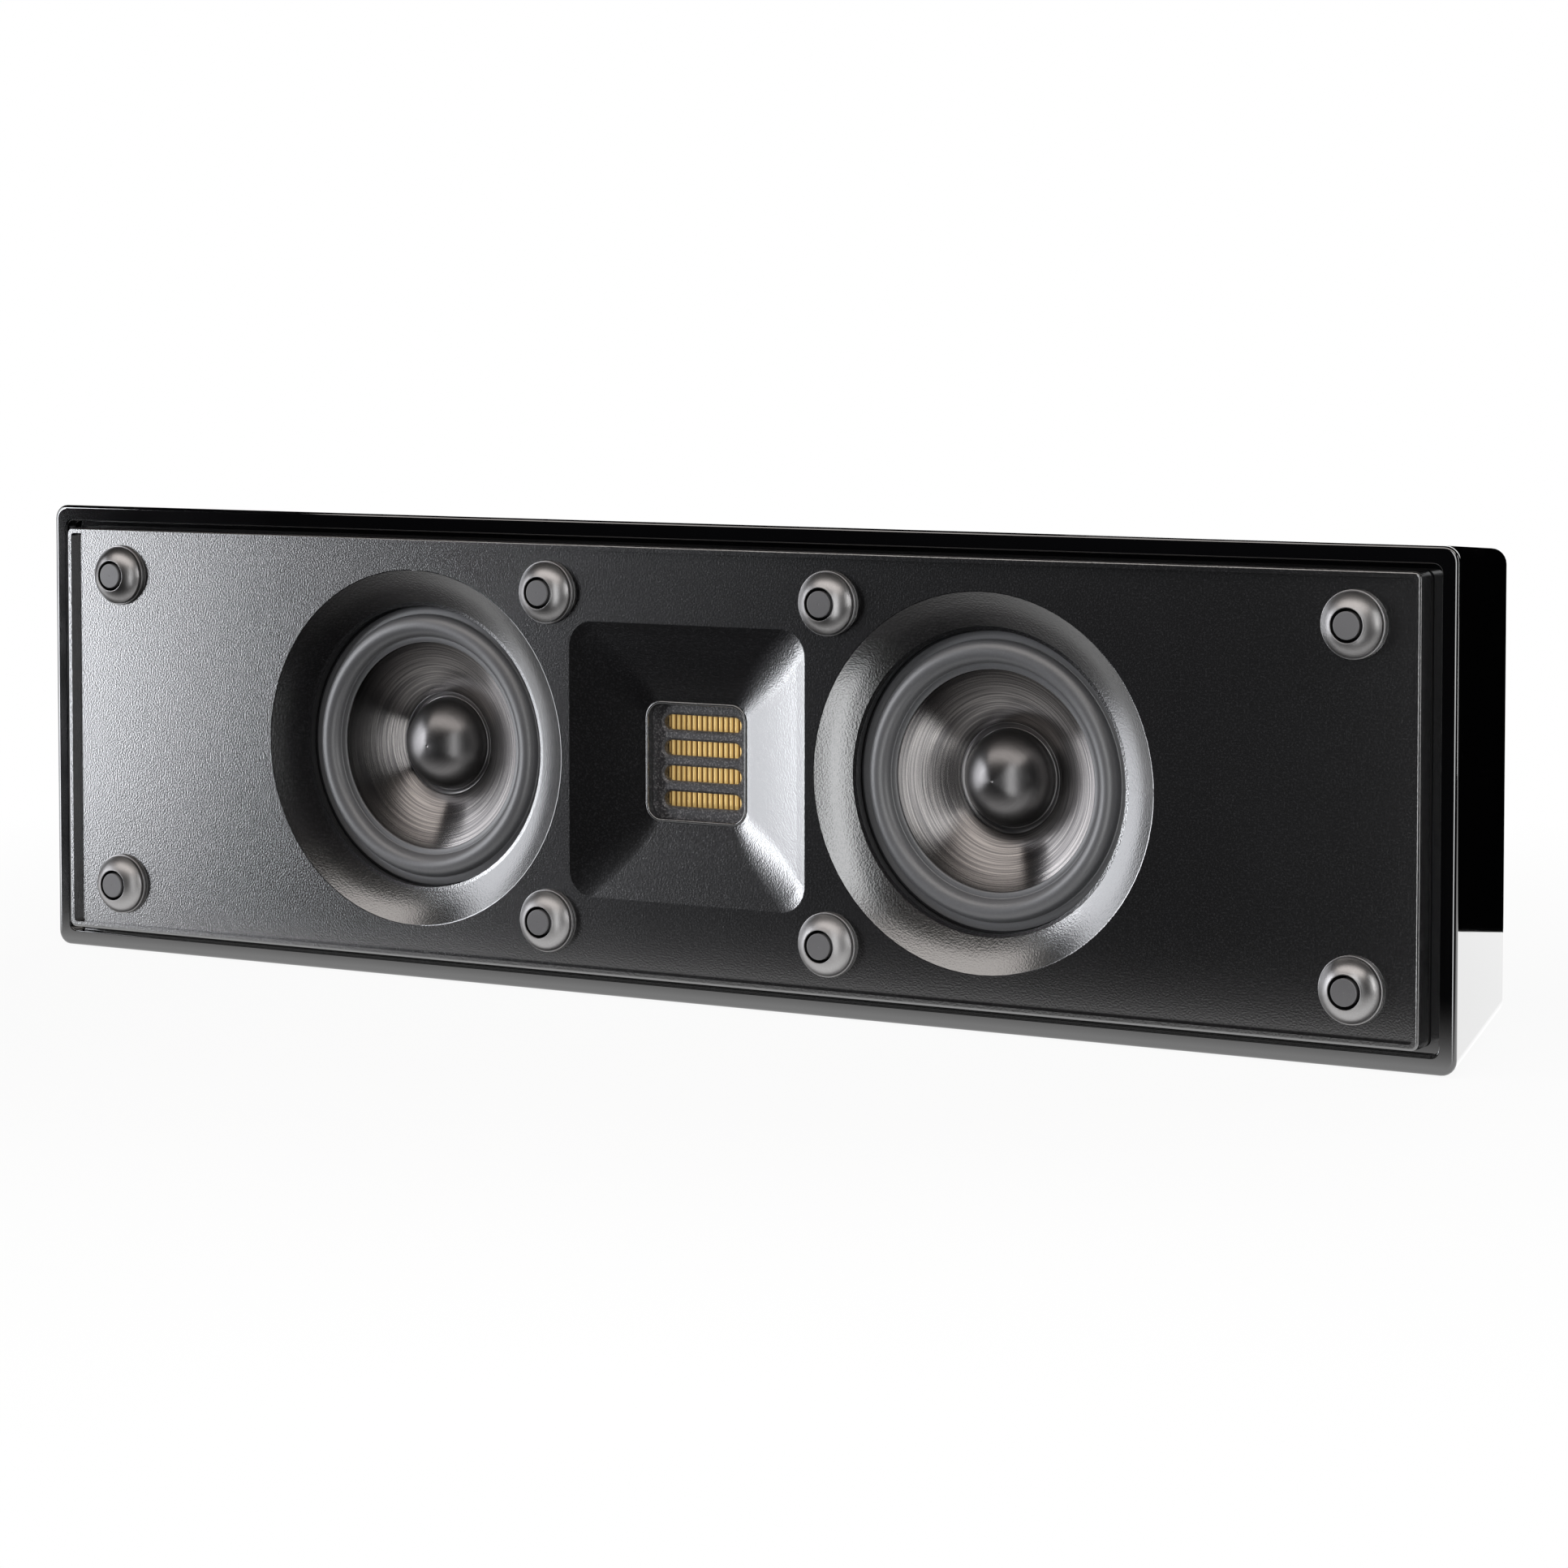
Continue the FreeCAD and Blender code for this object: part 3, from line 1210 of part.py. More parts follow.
def make_binding_posts():
    """Two binding posts: threaded stud, loose clamp washer and fluted knob, with lock nuts inside."""
    floor = "-cup_floor"
    post = turned("post", [
        ("0", f"{floor} - cup_wall - post_tail"), ("post_radius", f"{floor} - cup_wall - post_tail"),
        ("post_radius", floor), ("post_collar_radius", floor),
        ("post_collar_radius", f"{floor} + post_collar_height"),
        ("post_radius", f"{floor} + post_collar_height"),
        ("post_radius", "-post_end_inset"), ("post_bore_radius", "-post_end_inset"),
        ("post_bore_radius", "-post_end_inset - post_bore_depth"), ("0", "-post_end_inset - post_bore_depth"),
    ])
    washer = turned("washer", [
        ("post_radius + post_fit", "0"), ("washer_radius", "0"), ("washer_radius", "washer_thickness"),
        ("post_radius + post_fit", "washer_thickness"),
    ])
    knob = turned("knob", [
        ("post_radius + post_fit", "0"), ("knob_radius - knob_chamfer", "0"), ("knob_radius", "knob_chamfer"),
        ("knob_radius", "knob_length - knob_chamfer"), ("knob_radius - knob_chamfer", "knob_length"),
        ("post_radius + post_fit", "knob_length"),
    ])
    flute = front_sketch(knob)
    circle(flute, "0", "knob_radius + knob_flute_radius / 2", "knob_flute_radius")
    flute = pocket(knob, flute, "knob_length")
    polar(knob, [flute], "knob_flutes")
    nut = turned("nut", [
        ("post_radius + post_fit", "-lock_nut_thickness"), ("lock_nut_radius", "-lock_nut_thickness"),
        ("lock_nut_radius", "0"), ("post_radius + post_fit", "0"),
    ])
    spots = {}
    for colour, sign in (("red", "1"), ("black", "-1")):
        centre = f"{sign} * post_spacing / 2"
        copies(f"{colour}_post", post, [(centre, "back_y", "middle_z")])
        copies(f"{colour}_washer", washer, [(centre, "washer_y", "middle_z")])
        copies(f"{colour}_knob", knob, [(centre, "knob_y", "middle_z")])
        spots[colour] = (centre, "back_y - cup_depth", "middle_z")
    copies("post_lock_nuts", nut, list(spots.values()))


def make_hangers():
    """Two keyhole plates let into the rear panel, each with two screws."""
    body = new_body("keyhole")
    sheet_outline = front_sketch(body, "-keyhole_plate_thickness")
    rounded_rectangle(sheet_outline, "keyhole_plate_width", "keyhole_plate_height", "rear_corner_radius")
    pad(body, sheet_outline, "keyhole_plate_thickness")
    entry = front_sketch(body, "-keyhole_plate_thickness")
    circle(entry, "0", "-keyhole_drop / 2", "keyhole_entry_radius")
    pocket(body, entry, "keyhole_plate_thickness")
    slot = front_sketch(body, "-keyhole_plate_thickness")
    outline(slot, [
        ("-keyhole_slot_radius", "-keyhole_drop / 2"), ("keyhole_slot_radius", "-keyhole_drop / 2"),
        ("keyhole_slot_radius", "keyhole_drop / 2"), ("-keyhole_slot_radius", "keyhole_drop / 2"),
    ], {2: (None, 1)})
    pocket(body, slot, "keyhole_plate_thickness")
    for sz in (-1, 1):
        level = f"{sz} * keyhole_screw_spacing / 2"
        narrow, wide = front_sketch(body, "-keyhole_plate_thickness"), front_sketch(body)
        circle(narrow, "0", level, "small_shank_radius + screw_hole_fit")
        circle(wide, "0", level, "small_head_radius + screw_hole_fit")
        loft(body, "PartDesign::SubtractiveLoft", narrow, wide)
    copies("keyhole_plates", body, [(f"{sign} * keyhole_x", "back_y", "middle_z") for sign in SIDES.values()])
    flush = turned("hanger_screw", [
        ("0", "-flush_head_sink"), ("small_head_radius", "-flush_head_sink"),
        ("small_shank_radius", "-keyhole_plate_thickness"),
        ("small_shank_radius", "-keyhole_screw_length"), ("0", "-keyhole_screw_length"),
    ])
    spots = [(f"{sign} * keyhole_x", "back_y", f"middle_z + {sz} * keyhole_screw_spacing / 2")
             for sign in SIDES.values() for sz in (-1, 1)]
    copies("hanger_screws", flush, spots)


def make_wadding():
    """A pad of wadding on the rear panel at the left-hand end."""
    wad = box("damping_wadding", "wadding_width", "wadding_thickness", "wadding_height", "-wadding_x",
              "back_y - rear_panel_thickness - wadding_thickness", "middle_z")
    return keep(wad, "damping_wadding")


def check_model():
    """Stop if anything in the document failed or a sub-part is empty or broken."""
    doc.recompute()
    for obj in doc.Objects:
        if "Invalid" in obj.State or "Error" in obj.State:
            raise RuntimeError(f"{obj.Name} failed: {obj.State}")
    for part in subparts:
        if part.Shape.isNull() or not part.Shape.isValid() or not part.Shape.Solids:
            raise RuntimeError(f"{part.Label} is empty or broken")


def write_parts():
    """Write each sub-part to a file named for its label."""
    os.makedirs("parts", exist_ok=True)
    for part in subparts:
        part.Shape.exportStep(f"parts/{part.Label}.step")


cabinet = make_cabinet_shell()
make_rear_panel()
make_feet(cabinet)
make_blocks(cabinet)
make_front_baffle()
make_baffle_gasket()
make_studs()
make_woofers()
make_tweeter()
make_crossover()
make_terminal_cup()
make_binding_posts()
make_hangers()
make_wadding()
check_model()
write_parts()
print(f"{len(subparts)} sub-parts, {sum(len(part.Shape.Solids) for part in subparts)} solids")
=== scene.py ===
"""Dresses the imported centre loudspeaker: finer turned pieces, finishes, studio light and camera.

Sizes are in millimetres in the CAD part's own frame: X to the right seen from the front, Y to the back
and Z up. They become metres where a mesh is made. The studio, its lamps and the camera are in metres
from the start.
"""
import json
import logging
import math
from dataclasses import dataclass, field, replace
from enum import Enum

import bpy
import numpy as np
from mathutils import Matrix, Vector


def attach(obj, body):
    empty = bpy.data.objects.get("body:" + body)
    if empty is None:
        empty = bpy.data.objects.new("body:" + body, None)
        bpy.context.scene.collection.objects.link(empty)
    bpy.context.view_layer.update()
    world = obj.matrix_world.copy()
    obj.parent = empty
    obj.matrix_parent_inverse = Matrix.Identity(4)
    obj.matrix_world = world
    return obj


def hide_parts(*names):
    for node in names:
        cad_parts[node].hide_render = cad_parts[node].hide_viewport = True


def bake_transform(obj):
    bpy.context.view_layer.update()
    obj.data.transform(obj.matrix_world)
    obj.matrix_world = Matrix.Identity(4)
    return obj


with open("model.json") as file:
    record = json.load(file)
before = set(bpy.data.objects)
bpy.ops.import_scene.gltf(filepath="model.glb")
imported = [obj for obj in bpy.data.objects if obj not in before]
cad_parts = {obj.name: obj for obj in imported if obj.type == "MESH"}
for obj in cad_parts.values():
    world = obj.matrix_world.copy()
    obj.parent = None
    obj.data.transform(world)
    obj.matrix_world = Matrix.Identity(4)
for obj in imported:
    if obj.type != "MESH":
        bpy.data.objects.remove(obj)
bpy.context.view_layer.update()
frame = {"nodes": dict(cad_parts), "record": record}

MM = 0.001
MIDDLE_Z = 81.5            # height of the front's middle line
RIM_Y = -39.85             # the cabinet's front rim
PANEL_Y = -42.55           # the front panel's face
DRIVER_Y = -31.75          # the face of the woofers' flanges
WOOFER_X = 112.0           # the woofers' centres to either side
FOLD_PITCH = 2.1           # from one fold of the film to the next
ROOT = "cabinet"
RING_UV = "round_the_axis"
ACROSS_LINES = 0.25        # a quarter turn sets the shine across spun lines
log = logging.getLogger("centre_speaker")

Array = np.ndarray
Colour = tuple[float, float, float]
Point = tuple[float, float, float]
Socket = bpy.types.NodeSocket
Feed = Socket | float | tuple[float, ...]
Marks = tuple[Socket, Socket]


class Side(Enum):
    """The two woofers, by the sign of their X."""

    LEFT = -1
    RIGHT = 1

    @property
    def word(self) -> str:
        """The word that the side's nodes and bodies begin with."""
        return self.name.lower()

    @property
    def x(self) -> float:
        """The woofer's centre in X."""
        return self.value * WOOFER_X


class Pattern(Enum):
    """Surface detail, by the name of the node group that draws it."""

    GRAIN = "moulded_grain"
    SPUN = "spun_lines"
    WEAVE = "woven_threads"
    LAYERS = "drawn_layers"
    PLEATS = "pleat_lines"


# Meshes


def grid_faces(rows: int, columns: int, wrap_rows: bool, wrap_columns: bool) -> Array:
    """Join the points of a grid by quads.

    Args:
        rows: Points along the first parameter.
        columns: Points along the second parameter.
        wrap_rows: Whether the last row joins the first.
        wrap_columns: Whether the last column joins the first.

    Returns:
        The four point numbers of each quad.
    """
    first = np.arange(rows if wrap_rows else rows - 1)
    second = np.arange(columns if wrap_columns else columns - 1)
    i, j = np.meshgrid(first, second, indexing="ij")
    i_next, j_next = (i + 1) % rows, (j + 1) % columns
    corners = [i * columns + j, i * columns + j_next, i_next * columns + j_next, i_next * columns + j]
    return np.stack(corners, axis=-1).reshape(-1, 4)


def mesh_object(name: str, points: Array, faces: Array, uv: Array | None = None) -> bpy.types.Object:
    """Make a smooth-shaded object from arrays.

    Args:
        name: The piece's name.
        points: Places in millimetres, one row each.
        faces: The four point numbers of each quad.
        uv: A pair of texture coordinates for each corner of each quad.

    Returns:
        The object, linked to the scene.
    """
    mesh = bpy.data.meshes.new(name)
    mesh.vertices.add(len(points))
    mesh.vertices.foreach_set("co", (points * MM).astype(np.float32).ravel())
    mesh.loops.add(faces.size)
    mesh.loops.foreach_set("vertex_index", faces.astype(np.int32).ravel())
    mesh.polygons.add(len(faces))
    mesh.polygons.foreach_set("loop_start", np.arange(0, faces.size, 4, dtype=np.int32))
    mesh.polygons.foreach_set("use_smooth", np.ones(len(faces), dtype=bool))
    if uv is not None:
        mesh.uv_layers.new(name=RING_UV).uv.foreach_set("vector", uv.astype(np.float32).ravel())
    mesh.update(calc_edges=True)
    piece = bpy.data.objects.new(name, mesh)
    bpy.context.scene.collection.objects.link(piece)
    return piece


def softened(corners: Array, reach: Array | float, steps: int = 5, hair: float = 0.12) -> Array:
    """Round the corners of a closed profile.

    Each corner becomes the quadratic curve that leaves one side and joins the next at the same reach
    from the corner, which is cut to a third of the shorter side. One more point a hair beyond each end,
    and never past 0.45 of the shorter side, keeps smooth shading on the curve.

    Args:
        corners: The profile's corners, one row each.
        reach: How far from a corner its curve begins, for all corners or each.
        steps: Points on each curve.
        hair: How far beyond a curve its extra points lie.

    Returns:
        The rounded profile's points.
    """
    before, after = np.roll(corners, 1, axis=0) - corners, np.roll(corners, -1, axis=0) - corners
    long_before = np.linalg.norm(before, axis=1, keepdims=True)
    long_after = np.linalg.norm(after, axis=1, keepdims=True)
    wanted = np.broadcast_to(np.asarray(reach, dtype=float), (len(corners),))[:, None]
    shorter = np.minimum(long_before, long_after)
    take = np.minimum(wanted, shorter / 3.0)
    far = np.minimum(take + hair, shorter * 0.45)
    start, end = corners + before / long_before * take, corners + after / long_after * take
    s = np.linspace(0.0, 1.0, steps)[None, :, None]
    curve = (1 - s) ** 2 * start[:, None] + 2 * s * (1 - s) * corners[:, None] + s ** 2 * end[:, None]
    first = (corners + before / long_before * far)[:, None]
    last = (corners + after / long_after * far)[:, None]
    return np.concatenate([first, curve, last], axis=1).reshape(-1, 2)


def arc(centre: tuple[float, float], radius: float, start: float, end: float, steps: int) -> Array:
    """Points on an arc: the centre plus the radius times the cosine and sine of angles in degrees."""
    angle = np.radians(np.linspace(start, end, steps))
    return np.stack([centre[0] + radius * np.cos(angle), centre[1] + radius * np.sin(angle)], axis=1)


def turned(name: str, profile: Array, centres: list[Point], segments: int = 192) -> bpy.types.Object:
    """Turn a closed profile about the depth axis through each of several centres.

    A point lies at the centre plus its radius times the cosine of the turn in X, its depth in Y and its
    radius times the sine of the turn in Z. Points on the axis keep a hair's radius, so that poles close.

    Args:
        name: The piece's name.
        profile: Rows of radius and depth, going round the section once.
        centres: The places of the copies.
        segments: Steps of the turn.

    Returns:
        The object, with texture coordinates that follow the turn.
    """
    turn = np.linspace(0.0, 2.0 * np.pi, segments, endpoint=False)
    radius = np.maximum(profile[:, :1], 1e-3)
    depth = np.repeat(profile[:, 1:], segments, axis=1)
    ring = np.stack([radius * np.cos(turn), depth, radius * np.sin(turn)], axis=-1).reshape(-1, 3)
    faces = grid_faces(len(profile), segments, True, True)
    ahead = np.roll(profile, -1, axis=0)
    area = 0.5 * np.sum(profile[:, 0] * ahead[:, 1] - ahead[:, 0] * profile[:, 1])
    faces = faces if area < 0 else faces[:, ::-1]
    points = (ring[None] + np.asarray(centres)[:, None]).reshape(-1, 3)
    copies = (faces[None] + np.arange(len(centres))[:, None, None] * len(ring)).reshape(-1, 4)
    row, column = faces // segments, faces % segments
    last = (column == segments - 1).any(axis=1, keepdims=True) & (column == 0)
    uv = np.stack([(column + last * segments) / segments, row / len(profile)], axis=-1)
    return mesh_object(name, points, copies, np.tile(uv.reshape(-1, 2), (len(centres), 1)))


def rounded_rectangles(half_width: Array, half_height: Array, radius: Array, steps: int = 7,
                       hair: float = 0.08) -> Array:
    """Round-cornered rectangles, one for each row of sizes.

    Each corner is a quarter circle about its own centre, with one more point a hair beyond each end, so
    that smooth shading stays on the corner.

    Args:
        half_width: Half of each width.
        half_height: Half of each height.
        radius: Corner radius of each.
        steps: Points on a corner.
        hair: How far beyond a corner its extra points lie, as a share of its radius.

    Returns:
        An array of rectangles by points by the two coordinates.
    """
    quarter = np.linspace(0.0, np.pi / 2, steps)
    cosine = np.concatenate([[1.0], np.cos(quarter), [-hair]])
    sine = np.concatenate([[-hair], np.sin(quarter), [1.0]])
    signs = np.array([(1, 1), (-1, 1), (-1, -1), (1, -1)])
    turned_cosine = np.stack([cosine, -sine, -cosine, sine])
    turned_sine = np.stack([sine, cosine, -sine, -cosine])
    across = signs[None, :, :1] * (half_width - radius)[:, None, None] + radius[:, None, None] * turned_cosine
    upward = signs[None, :, 1:] * (half_height - radius)[:, None, None] + radius[:, None, None] * turned_sine
    return np.stack([across, upward], axis=-1).reshape(len(radius), -1, 2)


# Finishes


def new_group(name: str, inputs: dict[str, float], outputs: tuple[str, ...]) -> bpy.types.NodeTree:
    """Start a shader node group with number sockets.

    Args:
        name: The group's name.
        inputs: Default value of each input.
        outputs: Names of the outputs.

    Returns:
        The empty group.
    """
    tree = bpy.data.node_groups.new(name, "ShaderNodeTree")
    for label, value in inputs.items():
        tree.interface.new_socket(label, in_out="INPUT", socket_type="NodeSocketFloat").default_value = value
    for label in outputs:
        tree.interface.new_socket(label, in_out="OUTPUT", socket_type="NodeSocketFloat")
    return tree


@dataclass
class Wiring:
    """Adds nodes to one tree and links them."""

    tree: bpy.types.NodeTree

    def node(self, kind: str, settings: dict[str, str] | None = None, **inputs: Feed) -> bpy.types.Node:
        """Add a node.

        Args:
            kind: The node's type, without its common first word.
            settings: Properties of the node.
            **inputs: Values or sockets for inputs, with _ for a space and a number after i for an index.

        Returns:
            The node.
        """
        node = self.tree.nodes.new(f"ShaderNode{kind}")
        for label, value in (settings or {}).items():
            setattr(node, label, value)
        for label, value in inputs.items():
            index = label[1:]
            socket = node.inputs[int(index) if index.isdigit() else label.replace("_", " ")]
            if isinstance(value, Socket):
                self.tree.links.new(value, socket)
            else:
                socket.default_value = value
        return node

    def math(self, operation: str, first: Feed, second: Feed = 0.0) -> Socket:
        """Add a Math node and give its result."""
        return self.node("Math", {"operation": operation}, i0=first, i1=second).outputs[0]

    def spread(self, value: Feed, low: float, high: float, to_low: float = 0.0,
               to_high: float = 1.0) -> Socket:
        """Map a value from one range to another, kept inside it."""
        inputs = {"i0": value, "i1": low, "i2": high, "i3": to_low, "i4": to_high}
        return self.node("MapRange", None, **inputs).outputs[0]

    def noise(self, vector: Feed, scale: Feed, detail: float = 2.0) -> Socket:
        """Add a Noise node and give its value."""
        return self.node("TexNoise", None, Vector=vector, Scale=scale, Detail=detail).outputs[0]


class PatternGroups:
    """The node groups that draw grain, spun lines, weave, layers and pleats, each built once.

    Every group puts out a Height for bump, a Fleck mask of small spots and a slow Cloud; for the pleats
    the Fleck mask is the valleys, which carry painted shade. A method that draws a pattern gives its height
    and its flecks.
    """

    OUTPUTS = ("Height", "Fleck", "Cloud")
    CLOUD_SCALE = 22.0
    CLOUD_RANGE = (0.3, 0.7)
    PEBBLE_TOPS = (0.5, 0.72)
    LINE_TOPS = (0.35, 0.72)
    LINE_WIDTH = 0.6
    NEAREST = 1e-5
    THREAD_WANDER = 1.5
    LAYER_STRETCH = (0.06, 1.0, 0.06)
    VALLEYS = (0.05, -0.5)

    def __init__(self) -> None:
        """Start with no group."""
        self.trees: dict[Pattern, bpy.types.NodeTree] = {}

    def get(self, pattern: Pattern) -> bpy.types.NodeTree:
        """The group of a pattern, made on first use.

        Args:
            pattern: The pattern to draw.

        Returns:
            Its node group.
        """
        if pattern not in self.trees:
            maker = {Pattern.GRAIN: self.grain, Pattern.SPUN: self.spun, Pattern.WEAVE: self.weave,
                     Pattern.LAYERS: self.layers, Pattern.PLEATS: self.pleats}[pattern]
            inputs = {"Scale": 1000.0, "Centre X": 0.0, "Centre Z": 0.0}
            tree = new_group(pattern.value, inputs, self.OUTPUTS)
            wiring = Wiring(tree)
            entry = tree.nodes.new("NodeGroupInput")
            place = wiring.node("TexCoord").outputs["Object"]
            height, fleck = maker(wiring, entry, place)
            cloud = wiring.noise(place, self.CLOUD_SCALE, 3.0)
            leave = tree.nodes.new("NodeGroupOutput")
            for label, socket in zip(self.OUTPUTS, (height, fleck, cloud)):
                tree.links.new(socket, leave.inputs[label])
            self.trees[pattern] = tree
        return self.trees[pattern]

    def grain(self, wiring: Wiring, entry: bpy.types.Node, place: Socket) -> Marks:
        """Pebbled height of a moulding, and the highest pebbles as flecks."""
        height = wiring.noise(place, entry.outputs["Scale"], 1.0)
        return height, wiring.spread(height, *self.PEBBLE_TOPS)

    def spun(self, wiring: Wiring, entry: bpy.types.Node, place: Socket) -> Marks:
        """Lines round the axis: noise over the radius that changes slowly round the turn.

        Args:
            wiring: The group's wiring.
            entry: The group's inputs, with the axis in Centre X and Centre Z.
            place: Object coordinates.

        Returns:
            Fine lines as height and wider ones as flecks.
        """
        parts = wiring.node("SeparateXYZ", None, Vector=place).outputs
        across = wiring.math("SUBTRACT", parts["X"], entry.outputs["Centre X"])
        upward = wiring.math("SUBTRACT", parts["Z"], entry.outputs["Centre Z"])
        squares = wiring.math("ADD", wiring.math("MULTIPLY", across, across),
                              wiring.math("MULTIPLY", upward, upward))
        radius = wiring.math("MAXIMUM", wiring.math("SQRT", squares), self.NEAREST)
        line = wiring.math("MULTIPLY", radius, entry.outputs["Scale"])
        round_x = wiring.math("DIVIDE", across, radius)
        round_z = wiring.math("DIVIDE", upward, radius)
        vector = wiring.node("CombineXYZ", None, X=round_x, Y=line, Z=round_z).outputs[0]
        height = wiring.noise(vector, 1.0, 2.0)
        wider = wiring.math("MULTIPLY", line, self.LINE_WIDTH)
        wide = wiring.node("CombineXYZ", None, X=round_x, Y=wider, Z=round_z).outputs[0]
        return height, wiring.spread(wiring.noise(wide, 1.0, 1.0), *self.LINE_TOPS)

    def weave(self, wiring: Wiring, entry: bpy.types.Node, place: Socket) -> Marks:
        """Crossed threads: the product of a wave across and a wave upwards.

        Args:
            wiring: The group's wiring.
            entry: The group's inputs.
            place: Object coordinates.

        Returns:
            The threads as height and loose fibres as flecks.
        """
        warp, weft = (
            wiring.node("TexWave", {"wave_type": "BANDS", "bands_direction": way}, Vector=place,
                        Scale=entry.outputs["Scale"], Distortion=self.THREAD_WANDER).outputs[1]
            for way in "XZ")
        height = wiring.math("MULTIPLY", warp, weft)
        return height, wiring.noise(place, entry.outputs["Scale"], 3.0)

    def layers(self, wiring: Wiring, entry: bpy.types.Node, place: Socket) -> Marks:
        """Fine lines in depth, as of wound wire or a rolled sheet: noise stretched across and upwards.

        Args:
            wiring: The group's wiring.
            entry: The group's inputs.
            place: Object coordinates.

        Returns:
            The lines as height and fine noise as flecks.
        """
        long = wiring.node("Mapping", None, Vector=place, Scale=self.LAYER_STRETCH).outputs[0]
        height = wiring.noise(long, entry.outputs["Scale"], 2.0)
        return height, wiring.noise(place, entry.outputs["Scale"], 1.0)

    def pleats(self, wiring: Wiring, entry: bpy.types.Node, place: Socket) -> Marks:
        """Painted shade in the valleys between pleats: the lower part of a sine of the place across.

        Args:
            wiring: The group's wiring.
            entry: The group's inputs, with pleats a metre as the scale.
            place: Object coordinates.

        Returns:
            The sine as height and its valleys as flecks, which carry painted shade.
        """
        across = wiring.node("SeparateXYZ", None, Vector=place).outputs["X"]
        pleats = wiring.math("MULTIPLY", across, entry.outputs["Scale"])
        wave = wiring.math("SINE", wiring.math("MULTIPLY", pleats, 2.0 * math.pi))
        return wave, wiring.spread(wave, *self.VALLEYS)


GROUPS = PatternGroups()
FLECK_LIFT = 1.25          # how much lighter flecks are where a finish names no fleck colour


@dataclass(frozen=True)
class Finish:
    """One material: a colour with its surface detail.

    The scale is in marks a metre. The relief is the bump's strength and relief_mm its height. Flecks show
    by fleck_share and are rougher than the ground by fleck_rough. The shade is how dark the slow clouds
    go, and roughness_swing how far the roughness swings with them.
    """

    name: str
    colour: Colour
    roughness: float
    pattern: Pattern = Pattern.GRAIN
    scale: float = 1800.0
    metallic: float = 0.0
    relief: float = 0.15
    relief_mm: float = 0.05
    fleck: Colour | None = None
    fleck_share: float = 0.35
    fleck_rough: float = 0.0
    shade: float = 0.8
    roughness_swing: float = 0.06
    specular: float = 0.5
    coat: float = 0.0
    coat_roughness: float = 0.03
    coat_ior: float = 1.5
    ior: float = 1.5
    anisotropic: float = 0.0
    sheen: float = 0.0
    # Painted glow: the tint emits light at this strength, though the piece is no lamp.
    glow: float = 0.0
    centre: tuple[float, float] = (0.0, MIDDLE_Z)

    def material(self) -> bpy.types.Material:
        """Build the material, or give the one already built under this name.

        Returns:
            A material whose colour, roughness and normal all vary over the surface.
        """
        ready = bpy.data.materials.get(self.name)
        if ready:
            return ready
        material = bpy.data.materials.new(self.name)
        material.use_nodes = True
        material.node_tree.nodes.clear()
        wiring = Wiring(material.node_tree)
        detail = material.node_tree.nodes.new("ShaderNodeGroup")
        detail.node_tree = GROUPS.get(self.pattern)
        detail.inputs["Scale"].default_value = self.scale
        detail.inputs["Centre X"].default_value = self.centre[0] * MM
        detail.inputs["Centre Z"].default_value = self.centre[1] * MM
        fleck = self.fleck or tuple(min(1.0, FLECK_LIFT * part) for part in self.colour)
        dark = tuple(self.shade * part for part in self.colour)
        settings = {"data_type": "RGBA"}
        cloud = wiring.spread(detail.outputs["Cloud"], *GROUPS.CLOUD_RANGE)
        ground = wiring.node("Mix", settings, i0=cloud, i6=(*dark, 1.0), i7=(*self.colour, 1.0)).outputs[2]
        spots = wiring.math("MULTIPLY", detail.outputs["Fleck"], self.fleck_share)
        tint = wiring.node("Mix", settings, i0=spots, i6=ground, i7=(*fleck, 1.0)).outputs[2]
        rough = wiring.spread(detail.outputs["Cloud"], *GROUPS.CLOUD_RANGE,
                              self.roughness - self.roughness_swing, self.roughness + self.roughness_swing)
        if self.fleck_rough:
            rougher = wiring.math("MULTIPLY", detail.outputs["Fleck"], self.fleck_rough)
            rough = wiring.math("ADD", rough, rougher)
        bump = wiring.node("Bump", None, Strength=self.relief, Distance=self.relief_mm * MM,
                           Height=detail.outputs["Height"])
        # Where glow is above nought, the tint is also emitted as painted glow.
        shader = wiring.node("BsdfPrincipled", None, Base_Color=tint, Roughness=rough, Metallic=self.metallic,
                             Normal=bump.outputs[0], Specular_IOR_Level=self.specular, Coat_Weight=self.coat,
                             Coat_Roughness=self.coat_roughness, Coat_IOR=self.coat_ior, IOR=self.ior,
                             Anisotropic=self.anisotropic, Anisotropic_Rotation=ACROSS_LINES,
                             Sheen_Weight=self.sheen, Emission_Color=tint, Emission_Strength=self.glow)
        if self.anisotropic:
            tangent = wiring.node("Tangent", {"direction_type": "UV_MAP", "uv_map": RING_UV})
            material.node_tree.links.new(tangent.outputs[0], shader.inputs["Tangent"])
        result = wiring.node("OutputMaterial")
        material.node_tree.links.new(shader.outputs[0], result.inputs[0])
        return material

    def dress(self, *pieces: bpy.types.Object) -> None:
        """Give the material to pieces, in every slot that they have.

        Args:
            *pieces: New pieces or CAD nodes.
        """
        for piece in pieces:
            if not piece.material_slots:
                piece.data.materials.append(None)
            for slot in piece.material_slots:
                slot.material = self.material()


